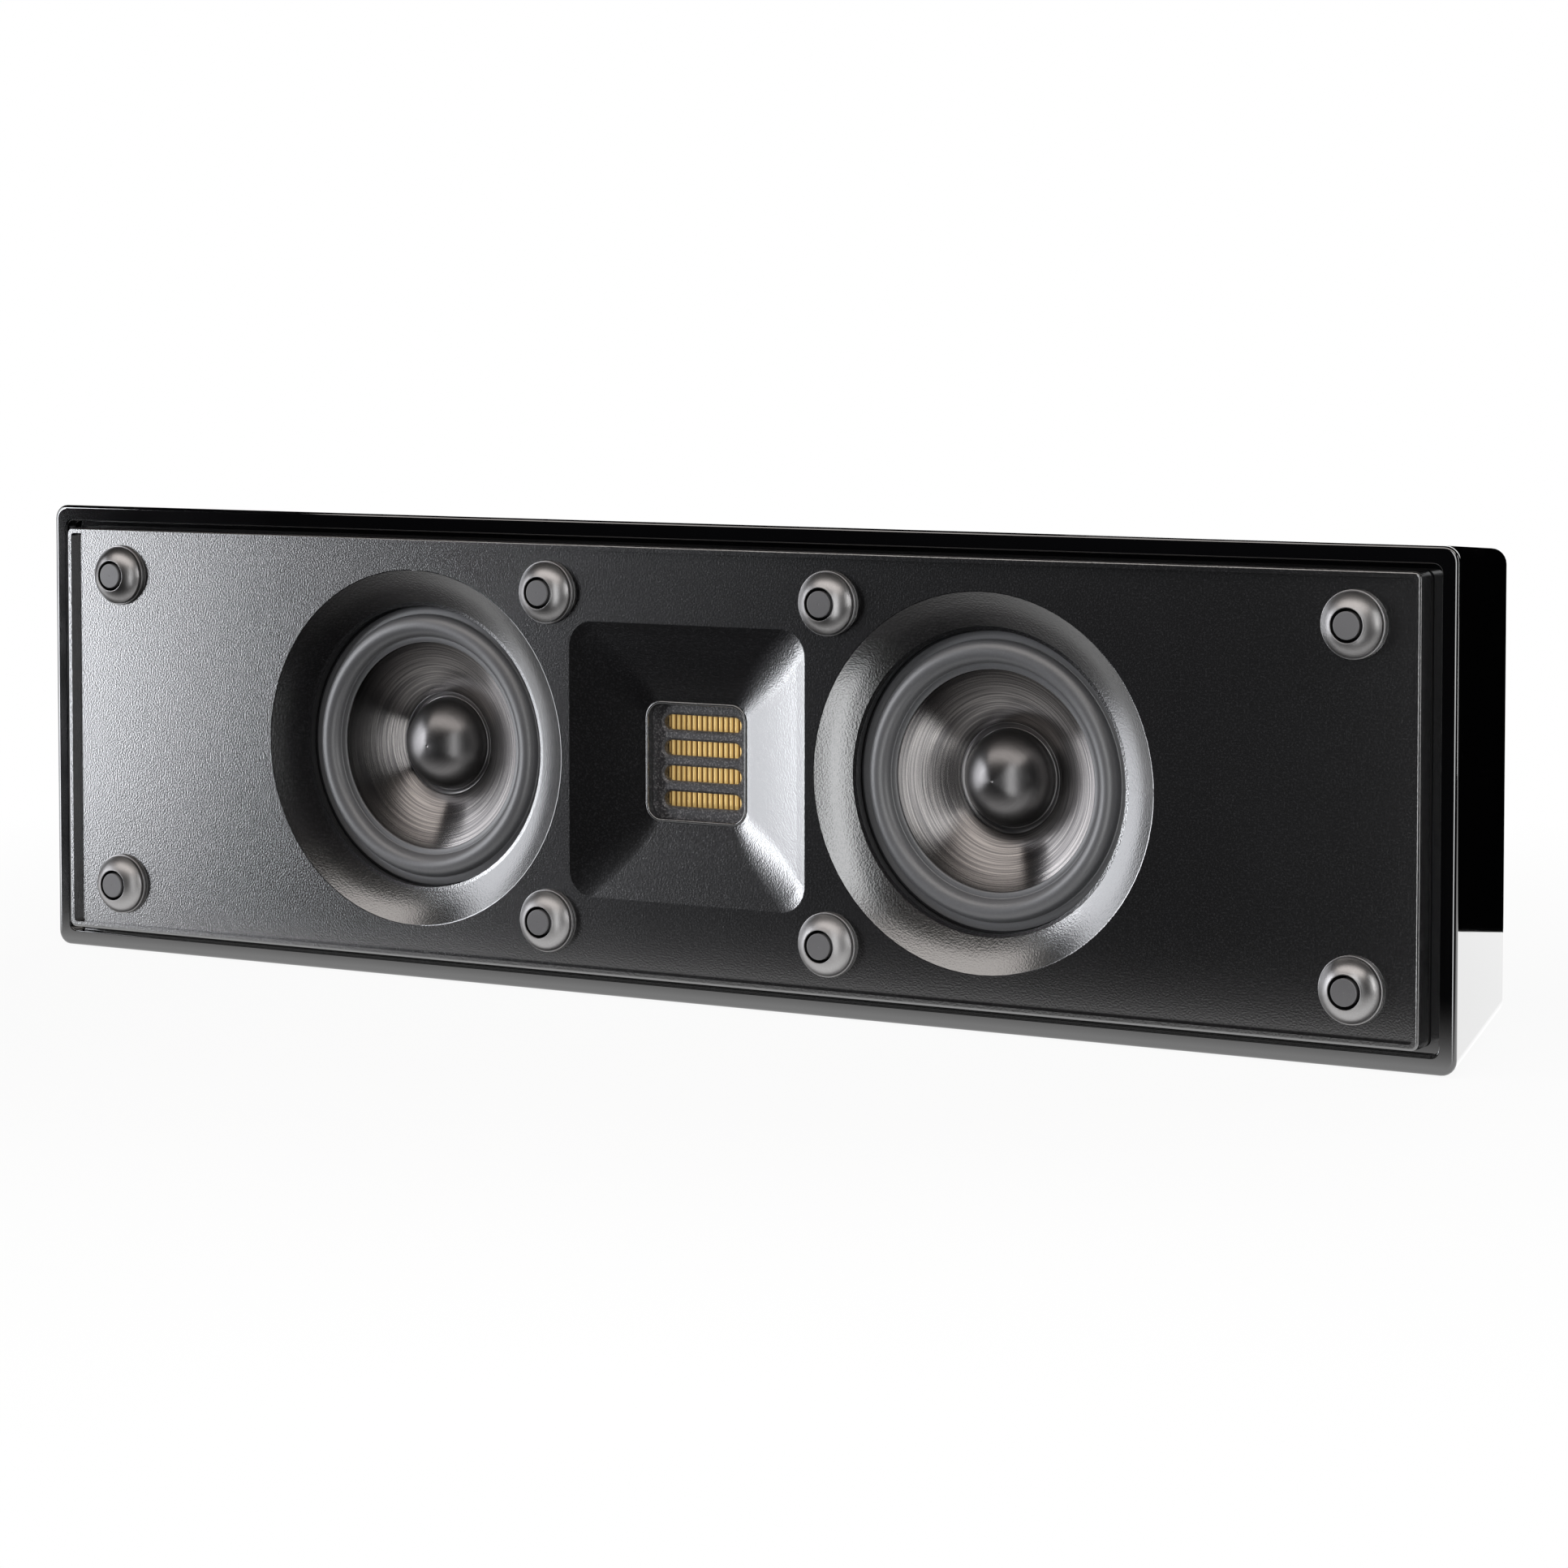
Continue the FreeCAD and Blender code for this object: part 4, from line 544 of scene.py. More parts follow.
LACQUER = Finish("gloss_black_lacquer", (0.003, 0.003, 0.0035), 0.05, scale=260.0, relief=0.015,
                 relief_mm=0.02, fleck_share=0.0, roughness_swing=0.015, specular=1.0, coat=1.0,
                 coat_roughness=0.012, coat_ior=1.7)
BAFFLE = Finish("satin_charcoal_moulding", (0.0035, 0.0033, 0.0038), 0.215, scale=1600.0, relief=0.65,
                relief_mm=0.065, fleck=(0.010, 0.0097, 0.011), fleck_share=0.9, fleck_rough=0.035,
                roughness_swing=0.004, ior=2.6)
STUD = Finish("satin_stud_metal", (0.39, 0.383, 0.382), 0.38, scale=3000.0, metallic=1.0, relief=0.08,
              relief_mm=0.03)
STUD_DISC = Finish("stud_disc_face", (0.135, 0.134, 0.138), 0.42, scale=3000.0, relief=0.12, relief_mm=0.03,
                   specular=0.8)
# Painted shade: a near-black, matt, almost unreflecting skin that darkens the inside of the studs' holes.
PAINTED_SHADE_WELL = Finish("painted_shade_stud_well", (0.003, 0.003, 0.003), 0.9, scale=1500.0, specular=0.1)
CONE = Finish("spun_black_cone", (0.135, 0.129, 0.129), 0.22, Pattern.SPUN, 3300.0, 1.0, 0.5, 0.04,
              (0.28, 0.266, 0.257), 0.9, roughness_swing=0.02, anisotropic=0.75)
CAP = Finish("spun_black_cap", (0.20, 0.195, 0.195), 0.33, Pattern.SPUN, 2300.0, 1.0, 0.1, 0.03,
             fleck_share=0.2, roughness_swing=0.02, anisotropic=0.5)
SURROUND = Finish("satin_rubber_roll", (0.11, 0.112, 0.118), 0.42, scale=1500.0, relief=0.05, relief_mm=0.03,
                  roughness_swing=0.01, ior=1.9)
# Painted light: the film's gold glows by its own emission, and its dark brown flecks fill the pleats' valleys
# as painted shade.
FILM_WITH_PAINTED_LIGHT = Finish("gold_film_painted_glow_and_shade", (1.0, 0.72, 0.29), 0.34, Pattern.PLEATS, 1.0 / (FOLD_PITCH * MM), 0.5,
              0.05, 0.02, (0.13, 0.05, 0.006), 1.0, shade=0.9, roughness_swing=0.05, glow=0.25)
SLOT_PLATE = Finish("grained_slot_plate", (0.030, 0.029, 0.032), 0.45, scale=1600.0, relief=0.4,
                    relief_mm=0.06, fleck=(0.20, 0.195, 0.20), fleck_share=0.9, specular=0.9)

FINISHES: dict[str, Finish] = {
    "cabinet_lacquer": LACQUER,
    "rear_board": Finish("satin_rear_board", (0.018, 0.018, 0.019), 0.55, scale=1400.0, relief=0.3,
                         relief_mm=0.08),
    "glue_block": Finish("sawn_block", (0.52, 0.38, 0.24), 0.75, Pattern.LAYERS, 700.0, relief=0.4,
                         relief_mm=0.2, fleck=(0.36, 0.24, 0.14)),
    "foot_rubber": Finish("matt_foot_rubber", (0.022, 0.022, 0.022), 0.8, scale=900.0, relief=0.3),
    "gasket_foam": Finish("open_foam", (0.026, 0.026, 0.026), 0.92, scale=1100.0, relief=0.8, relief_mm=0.2),
    "baffle_plastic": BAFFLE,
    "stud_plastic": STUD,
    "stud_magnet": STUD_DISC,
    "screw_steel": Finish("black_zinc_screw", (0.10, 0.10, 0.105), 0.38, Pattern.SPUN, 3000.0, 1.0, 0.08),
    "basket_steel": Finish("powder_coated_basket", (0.024, 0.024, 0.026), 0.5, scale=1300.0, relief=0.25),
    "surround_rubber": SURROUND,
    "cone_metal": CONE,
    "coil_copper": Finish("enamelled_copper_winding", (0.62, 0.25, 0.10), 0.32, Pattern.LAYERS, 2600.0, 1.0,
                          0.7, 0.15),
    "spider_cloth": Finish("resin_stiffened_cloth", (0.42, 0.29, 0.13), 0.85, Pattern.WEAVE, 300.0,
                           relief=0.6, relief_mm=0.12, sheen=0.2),
    "motor_steel": Finish("zinc_plated_steel", (0.52, 0.52, 0.53), 0.35, Pattern.SPUN, 1800.0, 1.0, 0.1),
    "ferrite": Finish("pressed_ferrite", (0.040, 0.040, 0.042), 0.6, scale=800.0, relief=0.35,
                      relief_mm=0.08),
    "tab_brass": Finish("stamped_brass", (0.72, 0.52, 0.22), 0.35, Pattern.LAYERS, 1500.0, 1.0, 0.15),
    "tweeter_plate": SLOT_PLATE,
    "film_gold": FILM_WITH_PAINTED_LIGHT,
    "magnet_plate": Finish("nickel_plated_steel", (0.55, 0.53, 0.50), 0.3, Pattern.LAYERS, 1500.0, 1.0, 0.1),
    "board_laminate": Finish("board_laminate", (0.025, 0.13, 0.055), 0.4, Pattern.WEAVE, 420.0, relief=0.15),
    "standoff_nylon": Finish("moulded_nylon", (0.72, 0.71, 0.67), 0.5, scale=900.0, relief=0.1),
    "capacitor_wrap": Finish("wrapped_film", (0.52, 0.30, 0.06), 0.3, Pattern.LAYERS, 900.0, relief=0.2),
    "resistor_cement": Finish("cast_cement", (0.70, 0.68, 0.63), 0.85, scale=900.0, relief=0.5,
                              relief_mm=0.1),
    "cup_plastic": Finish("satin_cup_moulding", (0.021, 0.021, 0.023), 0.45, scale=1900.0, relief=0.25),
    "post_gold": Finish("gold_plated_post", (0.86, 0.60, 0.22), 0.22, Pattern.SPUN, 1400.0, 1.0, 0.1, 0.03),
    "knob_red": Finish("red_knob_moulding", (0.46, 0.014, 0.012), 0.28, scale=1500.0, relief=0.08),
    "knob_black": Finish("black_knob_moulding", (0.016, 0.016, 0.016), 0.28, scale=1500.0, relief=0.08),
    "hanger_steel": Finish("zinc_hanger", (0.30, 0.30, 0.31), 0.35, Pattern.LAYERS, 1500.0, 1.0, 0.15),
    "wadding": Finish("polyester_wadding", (0.78, 0.78, 0.75), 0.95, Pattern.WEAVE, 160.0, relief=0.9,
                      relief_mm=0.5, sheen=0.4),
}


def settle(piece: bpy.types.Object, body: str | None, slot: str, *nodes: str) -> bpy.types.Object:
    """Tie a new piece to its body, hide the CAD nodes that it stands for, and log them.

    Args:
        piece: The new piece.
        body: The body that it moves with, or None for a ring that is left unattached.
        slot: The record's material slot; not used.
        *nodes: The CAD nodes that it replaces, none for an added skin.

    Returns:
        The piece.
    """
    if body:
        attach(piece, body)
    if nodes:
        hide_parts(*nodes)
    log.info("%s on %s for %s", piece.name, body or "two bodies", ", ".join(nodes) or "no node")
    return piece


# Sub-assemblies


@dataclass
class Cabinet:
    """The tapered lacquered wrap, as one closed tube of round-cornered rectangles."""

    width: float = 550.0
    height: float = 162.0
    depth: float = 90.0
    side_taper: float = 20.0
    height_taper: float = 5.5
    corner: float = 5.0
    wall: float = 14.0
    rim_band: float = 5.5
    rim_step: float = 4.0
    rim_round: float = 1.4
    rim_inner_round: float = 0.4
    rear_round: float = 2.0
    rear_inner_round: float = 0.3
    step_round: float = 0.2
    hidden_round: float = 0.1
    rear_band: float = 8.0
    panel: float = 9.0
    rim_corner: float = 3.0

    def stations(self) -> Array:
        """Section sizes from the rim's inner edge round the outside and back along the inside.

        A softened section of depth and inset goes round the wall once. The half sizes shrink with the
        depth by the taper and everywhere by the inset.

        Returns:
            Rows of depth, half width, half height and corner radius.
        """
        rear = self.depth - self.panel
        section = np.array([
            (0.0, self.rim_band), (0.0, 0.0), (self.depth, 0.0), (self.depth, self.rear_band),
            (rear, self.rear_band), (rear, self.wall),
            (self.rim_step, self.wall), (self.rim_step, self.rim_band),
        ])
        reach = np.array([self.rim_inner_round, self.rim_round, self.rear_round, self.rear_inner_round,
                          self.hidden_round, self.hidden_round, self.hidden_round, self.step_round])
        depth, inset = softened(section, reach, steps=7).T
        share = np.clip((depth - self.rim_round) / (self.depth - self.rim_round), 0.0, 1.0)
        half_width = self.width / 2 - self.side_taper * share - inset
        half_height = self.height / 2 - self.height_taper * share - inset
        corner = np.maximum(self.corner - inset, self.rim_corner)
        return np.column_stack([depth, half_width, half_height, corner])

    def build(self) -> None:
        """Loft the stations, join the last to the first, and lacquer the wrap."""
        stations = self.stations()
        loops = rounded_rectangles(stations[:, 1], stations[:, 2], stations[:, 3])
        depth = np.repeat(stations[:, :1] + RIM_Y, loops.shape[1], axis=1)
        points = np.stack([loops[..., 0], depth, loops[..., 1] + MIDDLE_Z], axis=-1).reshape(-1, 3)
        faces = grid_faces(len(stations), loops.shape[1], True, True)
        piece = mesh_object("lacquered_cabinet", points, faces)
        LACQUER.dress(settle(piece, ROOT, "cabinet_lacquer", "cabinet_shell"))


@dataclass
class GrilleStuds:
    """Eight domed studs with a disc in the crown of each and a near-black lining of painted shade in the well
    round it.
    """

    outer_x: float = 242.0
    inner_x: float = 55.5
    spread_z: float = 56.3
    base_radius: float = 10.8
    base_height: float = 1.3
    groove_radius: float = 9.7
    groove_height: float = 0.6
    dome_radius: float = 10.3
    height: float = 6.3
    crown: float = 9.0
    hole_radius: float = 5.4
    hole_depth: float = 2.6
    disc_radius: float = 4.4
    disc_proud: float = 0.15
    hollow: float = 0.6
    foot_radius: float = 9.9
    foot_gap: float = 0.02
    edge_round: float = 0.3
    lip_round: float = 0.16
    floor_round: float = 0.1
    well_skin: float = 0.08
    well_drop: float = 0.25
    well_inner: float = 3.0

    def centres(self) -> list[Point]:
        """The studs' places on the panel."""
        columns = (-self.outer_x, -self.inner_x, self.inner_x, self.outer_x)
        return [(x, PANEL_Y, MIDDLE_Z + row * self.spread_z) for row in (1, -1) for x in columns]

    def dome(self) -> Array:
        """The dome's line from its foot to the hole: an arc of the crown's radius through both ends.

        Returns:
            Rows of radius and depth.
        """
        foot = np.array([self.dome_radius, -(self.base_height + self.groove_height)])
        top = np.array([self.hole_radius, -self.height])
        chord = top - foot
        middle, length = (foot + top) / 2, float(np.linalg.norm(chord))
        normal = np.array([-chord[1], chord[0]]) / length
        centre = middle + normal * math.sqrt(self.crown ** 2 - (length / 2) ** 2)
        if centre[0] > middle[0]:
            centre = 2 * middle - centre
        start, end = (math.degrees(math.atan2(*(point - centre)[::-1])) for point in (foot, top))
        return arc((centre[0], centre[1]), self.crown, start, end, steps=18)

    def build(self) -> None:
        """Turn the studs, their discs and the wells' linings of painted shade, and dress them."""
        studs = turned("domed_studs", self.stud_profile(), self.centres(), segments=96)
        STUD.dress(settle(studs, ROOT, "stud_plastic", "grille_studs"))
        floors = [(x, y - self.height + self.hole_depth, z) for x, y, z in self.centres()]
        discs = turned("stud_discs", self.disc_profile(), floors, segments=64)
        STUD_DISC.dress(settle(discs, ROOT, "stud_magnet", "stud_magnets"))
        shade_linings = turned("stud_well_painted_shade", self.well_profile(), floors, segments=64)
        PAINTED_SHADE_WELL.dress(settle(shade_linings, ROOT, "stud_plastic"))

    def stud_profile(self) -> Array:
        """Round a stepped foot, then follow the dome and go down into the hole.

        The first and last corners of the foot only lead its line, so all but two points of each are left
        out.

        Returns:
            Rows of radius and depth.
        """
        dome = self.dome()
        foot = softened(np.array([
            (self.hollow, -self.hollow), (self.foot_radius, -self.foot_gap), (self.base_radius, 0.0),
            (self.base_radius, -self.base_height), (self.groove_radius, -self.base_height),
            (self.groove_radius, dome[0, 1]), (dome[0, 0], dome[0, 1]),
        ]), self.edge_round)[5:-5]
        hole, top, floor = self.hole_radius, -self.height, self.hole_depth - self.height
        crown = np.array([(hole + self.lip_round, top), (hole, top + self.lip_round),
                          (hole, floor + self.floor_round), (hole - self.floor_round, floor), (0.0, floor)])
        return np.vstack([foot, dome[:-1], crown, [(0.0, -self.hollow)]])

    def disc_profile(self) -> Array:
        """The disc's section from the hole's floor, a rectangle with soft corners."""
        edge, face = self.disc_radius, -self.disc_proud - self.hole_depth
        return softened(np.array([(edge, 0.0), (edge, face), (0.0, face), (0.0, 0.0)]), self.edge_round)

    def well_profile(self) -> Array:
        """The painted-shade lining's section from the hole's floor: a thin wall and a thin floor up to the
        disc.

        Returns:
            Rows of radius and depth.
        """
        outer, inner, skin = self.hole_radius, self.well_inner, self.well_skin
        mouth = self.well_drop - self.hole_depth
        return np.array([(outer, 0.0), (outer, mouth), (outer - skin, mouth), (outer - skin, -skin),
                         (inner, -skin), (inner, 0.0)])


@dataclass
class HornLining:
    """The horn's slopes as one skin, with corners wide between mouth and throat, and a bead at the throat."""

    mouth: tuple[float, float] = (46.5, 47.0)
    throat: tuple[float, float] = (19.5, 20.0)
    mouth_corner: float = 9.0
    throat_corner: float = 5.5
    fullness: float = 2.5
    front_y: float = PANEL_Y
    back_y: float = -35.55
    ends: tuple[float, float] = (0.055, 0.985)
    lift: float = 0.2
    sink: float = 0.05
    skin: float = 0.4
    steps: int = 40
    corner_steps: int = 17
    hair: float = 0.003
    bead_radius: float = 0.55
    bead_steps: int = 16

    def build(self) -> None:
        """Build the skin over the slopes and the bead round the throat."""
        self.slopes()
        self.bead()

    def bead(self) -> None:
        """Run a round bead along the throat's edge.

        Each row is the throat's rounded rectangle, wider by the radius times a cosine and further back by
        the radius times the sine of the same angle.
        """
        angle = np.linspace(0.0, 2.0 * np.pi, self.bead_steps, endpoint=False)
        out = self.bead_radius * np.cos(angle)
        loops = rounded_rectangles(self.throat[0] + out, self.throat[1] + out, self.throat_corner + out,
                                   self.corner_steps)
        self.skinned("throat_bead", loops, self.back_y + self.bead_radius * np.sin(angle))

    def skinned(self, name: str, loops: Array, depth: Array) -> None:
        """Close a stack of outlines both ways and dress it as part of the moulding.

        Args:
            name: The piece's name.
            loops: Outlines by points by place across and up.
            depth: The depth of each outline.
        """
        deep = np.repeat(depth[:, None], loops.shape[1], axis=1)
        points = np.stack([loops[..., 0], deep, loops[..., 1] + MIDDLE_Z], axis=-1).reshape(-1, 3)
        faces = grid_faces(len(depth), loops.shape[1], True, True)
        BAFFLE.dress(settle(mesh_object(name, points, faces[:, ::-1]), ROOT, "baffle_plastic"))

    def slopes(self) -> None:
        """Loft rounded rectangles from mouth to throat and back again behind the skin.

        Sizes and depth go evenly from mouth to throat. The corner radius does too, plus the fullness
        times the sine of half a turn over the way. The face stands proud by the lift times the same sine,
        less the sink. Rows a hair from each end keep smooth shading off the skin's edges.
        """
        start, end = self.ends
        rows = [start, start + self.hair, end - self.hair, end]
        share = np.unique(np.concatenate([np.linspace(start, end, self.steps), rows]))
        bulge = np.sin(np.pi * (share - start) / (end - start))
        way = share[:, None]
        half = (1 - way) * np.array(self.mouth) + way * np.array(self.throat)
        radius = (1 - share) * self.mouth_corner + share * self.throat_corner + self.fullness * bulge
        depth = (1 - share) * self.front_y + share * self.back_y
        half = np.vstack([half, half[::-1]])
        radius = np.concatenate([radius, radius[::-1]])
        depth = np.concatenate([depth - self.lift * bulge + self.sink, depth[::-1] + self.skin])
        loops = rounded_rectangles(half[:, 0], half[:, 1], radius, self.corner_steps)
        self.skinned("horn_lining", loops, depth)


@dataclass
class Woofer:
    """The moving and soft pieces of one cone driver."""

    side: Side
    surround_outer: float = 48.9
    roll_outer: float = 46.0
    roll_inner: float = 38.4
    surround_inner: float = 36.3
    skin: float = 0.8
    outer_edge: float = 0.2
    inner_edge: tuple[float, float] = (0.3, 0.25)
    lands: tuple[float, float] = (0.4, 0.5)
    cone_edge: float = 36.5
    neck: float = 13.05
    cone_depth: float = 15.0
    cone_thickness: float = 0.8
    cone_rim: float = 0.6
    cone_rows: int = 56
    glue: float = 0.05
    cap_radius: float = 16.4
    cap_height: float = 14.9
    cap_thickness: float = 0.5
    cap_apex: float = -2.593
    flare: float = 0.4
    cap_flange: float = 18.2
    cap_land: float = 0.5
    cap_edge: float = 0.2
    cap_tuck: float = 0.1
    cap_turn: float = 3.0
    spider_inner: float = 13.15
    spider_outer: float = 30.0
    spider_rim: float = 36.35
    spider_depth: float = 17.85
    spider_wave: float = 1.2
    spider_swing: float = 0.9
    spider_waves: float = 3.0
    spider_fade: float = 0.4
    spider_collar: float = 1.0
    spider_rows: int = 90
    spider_thickness: float = 0.5

    @property
    def centre(self) -> Point:
        """The middle of the flange's face."""
        return (self.side.x, DRIVER_Y, MIDDLE_Z)

    @property
    def body(self) -> str:
        """The body that the cone moves with."""
        return f"{self.side.word}_diaphragm"

    def surround_profile(self) -> Array:
        """Flat lands joined by a half roll: the roll's two faces are half circles about one middle.

        Returns:
            Rows of radius and depth.
        """
        middle = (self.roll_outer + self.roll_inner) / 2
        reach = (self.roll_outer - self.roll_inner) / 2
        front = arc((middle, -self.skin), reach, 0.0, -180.0, steps=33)
        back = arc((middle, -self.glue), reach - self.skin, -180.0, 0.0, steps=33)
        outer, inner, face = self.surround_outer, self.surround_inner, -self.skin
        in_land, out_land = self.lands
        round_in, round_deep = self.inner_edge
        return np.vstack([
            [(outer, 0.0), (outer, face + self.outer_edge), (outer - self.outer_edge, face),
             (self.roll_outer + out_land, face)],
            front,
            [(self.roll_inner - in_land, face), (inner + round_in, face), (inner, face + round_deep),
             (inner, -self.glue)],
            back, [(self.roll_outer, 0.0)],
        ])

    def cone_line(self, radius: Array) -> Array:
        """Depth of the cone's face: it falls slowly at the rim and faster towards the neck.

        With the way inwards from rim to neck as a share, depth is the cone's depth times the share plus
        the flare times the share's square less the share.

        Args:
            radius: Distances from the axis.

        Returns:
            The depth at each.
        """
        share = (self.cone_edge - radius) / (self.cone_edge - self.neck)
        return self.cone_depth * (share + self.flare * (share ** 2 - share))

    def cone_profile(self) -> Array:
        """A flared wall from rim to neck with a flat rim under the surround.

        Returns:
            Rows of radius and depth.
        """
        radius = np.linspace(self.cone_edge, self.neck, self.cone_rows)
        front = np.stack([radius, self.cone_line(radius)], axis=1)
        shift = np.array([[0.0, self.cone_thickness]])
        rim = [(self.roll_inner, 0.0)], [(self.roll_inner, self.cone_rim)]
        return np.vstack([rim[0], front, front[::-1] + shift, rim[1]])

    def cap_profile(self) -> Array:
        """A sphere's cap on a flange that lies on the cone.

        The dome's radius is (rim squared plus height squared) over twice the height. The inside ends a
        few degrees early, where the cap tucks into the cone.

        Returns:
            Rows of radius and depth.
        """
        bulge = (self.cap_radius ** 2 + self.cap_height ** 2) / (2 * self.cap_height)
        half = math.degrees(math.asin(self.cap_radius / bulge))
        outer = arc((0.0, self.cap_apex + bulge), bulge, half - 90.0, -90.0, steps=40)
        inner = arc((0.0, self.cap_apex + bulge), bulge - self.cap_thickness, -90.0,
                    half - 90.0 - self.cap_turn, steps=40)
        rim, wall = self.cap_flange, self.cap_thickness
        radius = np.array([rim, rim, rim - self.cap_edge, self.cap_radius + self.cap_land])
        lift = np.array([-self.cap_tuck, wall - self.cap_edge, wall, wall])
        edge = np.stack([radius, self.cone_line(radius) - lift], axis=1)
        foot = self.cap_radius - wall
        return np.vstack([edge, outer[1:], inner, [(foot, float(self.cone_line(foot)) + self.cap_tuck)]])

    def spider_profile(self) -> Array:
        """A disc with round corrugations: depth is a sine of the radius that fades out at both ends.

        The whole wave lies one wave height further forward, and comes back to the rim by the sixth power
        of the way outwards.

        Returns:
            Rows of radius and depth.
        """
        share = np.linspace(0.0, 1.0, self.spider_rows)
        radius = self.spider_inner + (self.spider_outer - self.spider_inner) * share
        fade = np.sin(np.pi * share) ** self.spider_fade
        waves = self.spider_swing * fade * np.sin(2.0 * np.pi * self.spider_waves * share)
        depth = self.spider_depth + self.spider_wave * (waves - 1.0 + share ** 6)
        back = np.vstack([np.stack([radius, depth], axis=1), [(self.spider_rim, self.spider_depth)]])
        return np.vstack([back, back[::-1] - [0.0, self.spider_thickness]])

    def blended(self, piece: bpy.types.Object) -> None:
        """Bake the ring's transform into its mesh and read its points.

        Args:
            piece: The ring.
        """
        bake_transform(piece)
        places = np.empty(3 * len(piece.data.vertices), dtype=np.float32)
        piece.data.vertices.foreach_get("co", places)
        places = places.reshape(-1, 3)

    def build(self) -> None:
        """Turn the soft and moving pieces and dress them; tie the cone and the cap to the diaphragm's body.
        """
        word, at = self.side.word, (self.side.x, MIDDLE_Z)
        roll = turned(f"{word}_half_roll", self.surround_profile(), [self.centre], segments=224)
        SURROUND.dress(settle(roll, None, "surround_rubber", f"{word}_surround"))
        self.blended(roll)
        cloth = turned(f"{word}_corrugated_spider", self.spider_profile(), [self.centre], segments=128)
        FINISHES["spider_cloth"].dress(settle(cloth, None, "spider_cloth", f"{word}_spider"))
        self.blended(cloth)
        cone = turned(f"{word}_spun_cone", self.cone_profile(), [self.centre], segments=256)
        finish = replace(CONE, name=f"{CONE.name}_{word}", centre=at)
        finish.dress(settle(cone, self.body, "cone_metal", f"{word}_cone"))
        cap = turned(f"{word}_bullet_cap", self.cap_profile(), [self.centre], segments=192)
        finish = replace(CAP, name=f"{CAP.name}_{word}", centre=at)
        finish.dress(settle(cap, self.body, "cone_metal", f"{word}_dust_cap"))


@dataclass
class FoldedFilm:
    """The tweeter's pleated film."""

    pitch: float = FOLD_PITCH
    folds: int = 15
    fold_steps: int = 20
    rows: int = 9
    reach: float = 1.85
    middle_y: float = -26.05
    height: float = 37.4
    thickness: float = 0.14
    sharpness: float = 1.8
    ridge: float = 0.45

    def build(self) -> None:
        """Pleat a sheet.

        Depth is the squashed sine (tanh) of the place across, shifted so that the ridges towards the
        front are broad and the valleys narrow.
        """
        across = np.linspace(-0.5, 0.5, self.folds * self.fold_steps + 1) * self.pitch * self.folds
        wave = np.tanh(self.sharpness * (np.sin(2 * np.pi * across / self.pitch) + self.ridge))
        upward = MIDDLE_Z + np.linspace(-0.5, 0.5, self.rows) * self.height
        x, z = np.meshgrid(across, upward, indexing="ij")
        y = np.repeat((self.middle_y - self.reach * wave)[:, None], len(upward), axis=1)
        points = np.stack([x, y, z], axis=-1).reshape(-1, 3)
        piece = mesh_object("pleated_film", points, grid_faces(len(across), len(upward), False, False))
        wall = piece.modifiers.new("wall", "SOLIDIFY")
        wall.thickness = self.thickness * MM
        wall.offset = 0.0
        FILM_WITH_PAINTED_LIGHT.dress(settle(piece, ROOT, "film_gold", "tweeter_film"))


# Studio


@dataclass
class Lamp:
    """One rectangular soft light aimed at a point."""

    name: str
    place: Point
    aim: Point
    size: tuple[float, float]
    power: float
    colour: Colour = (1.0, 1.0, 1.0)

    def build(self) -> None:
        """Place the light, unseen by the camera."""
        data = bpy.data.lights.new(self.name, "AREA")
        data.shape = "RECTANGLE"
        data.size, data.size_y = self.size
        data.energy = self.power
        data.color = self.colour
        light = bpy.data.objects.new(self.name, data)
        bpy.context.scene.collection.objects.link(light)
        light.matrix_world = facing(self.place, self.aim)
        light.visible_camera = False


def facing(place: Point, aim: Point) -> Matrix:
    """The transform of a light or camera that looks from one point at another, with Z upwards.

    Args:
        place: Where it stands.
        aim: What it looks at.

    Returns:
        Its world matrix.
    """
    way = Vector(aim) - Vector(place)
    matrix = way.to_track_quat("-Z", "Y").to_matrix().to_4x4()
    matrix.translation = Vector(place)
    return matrix


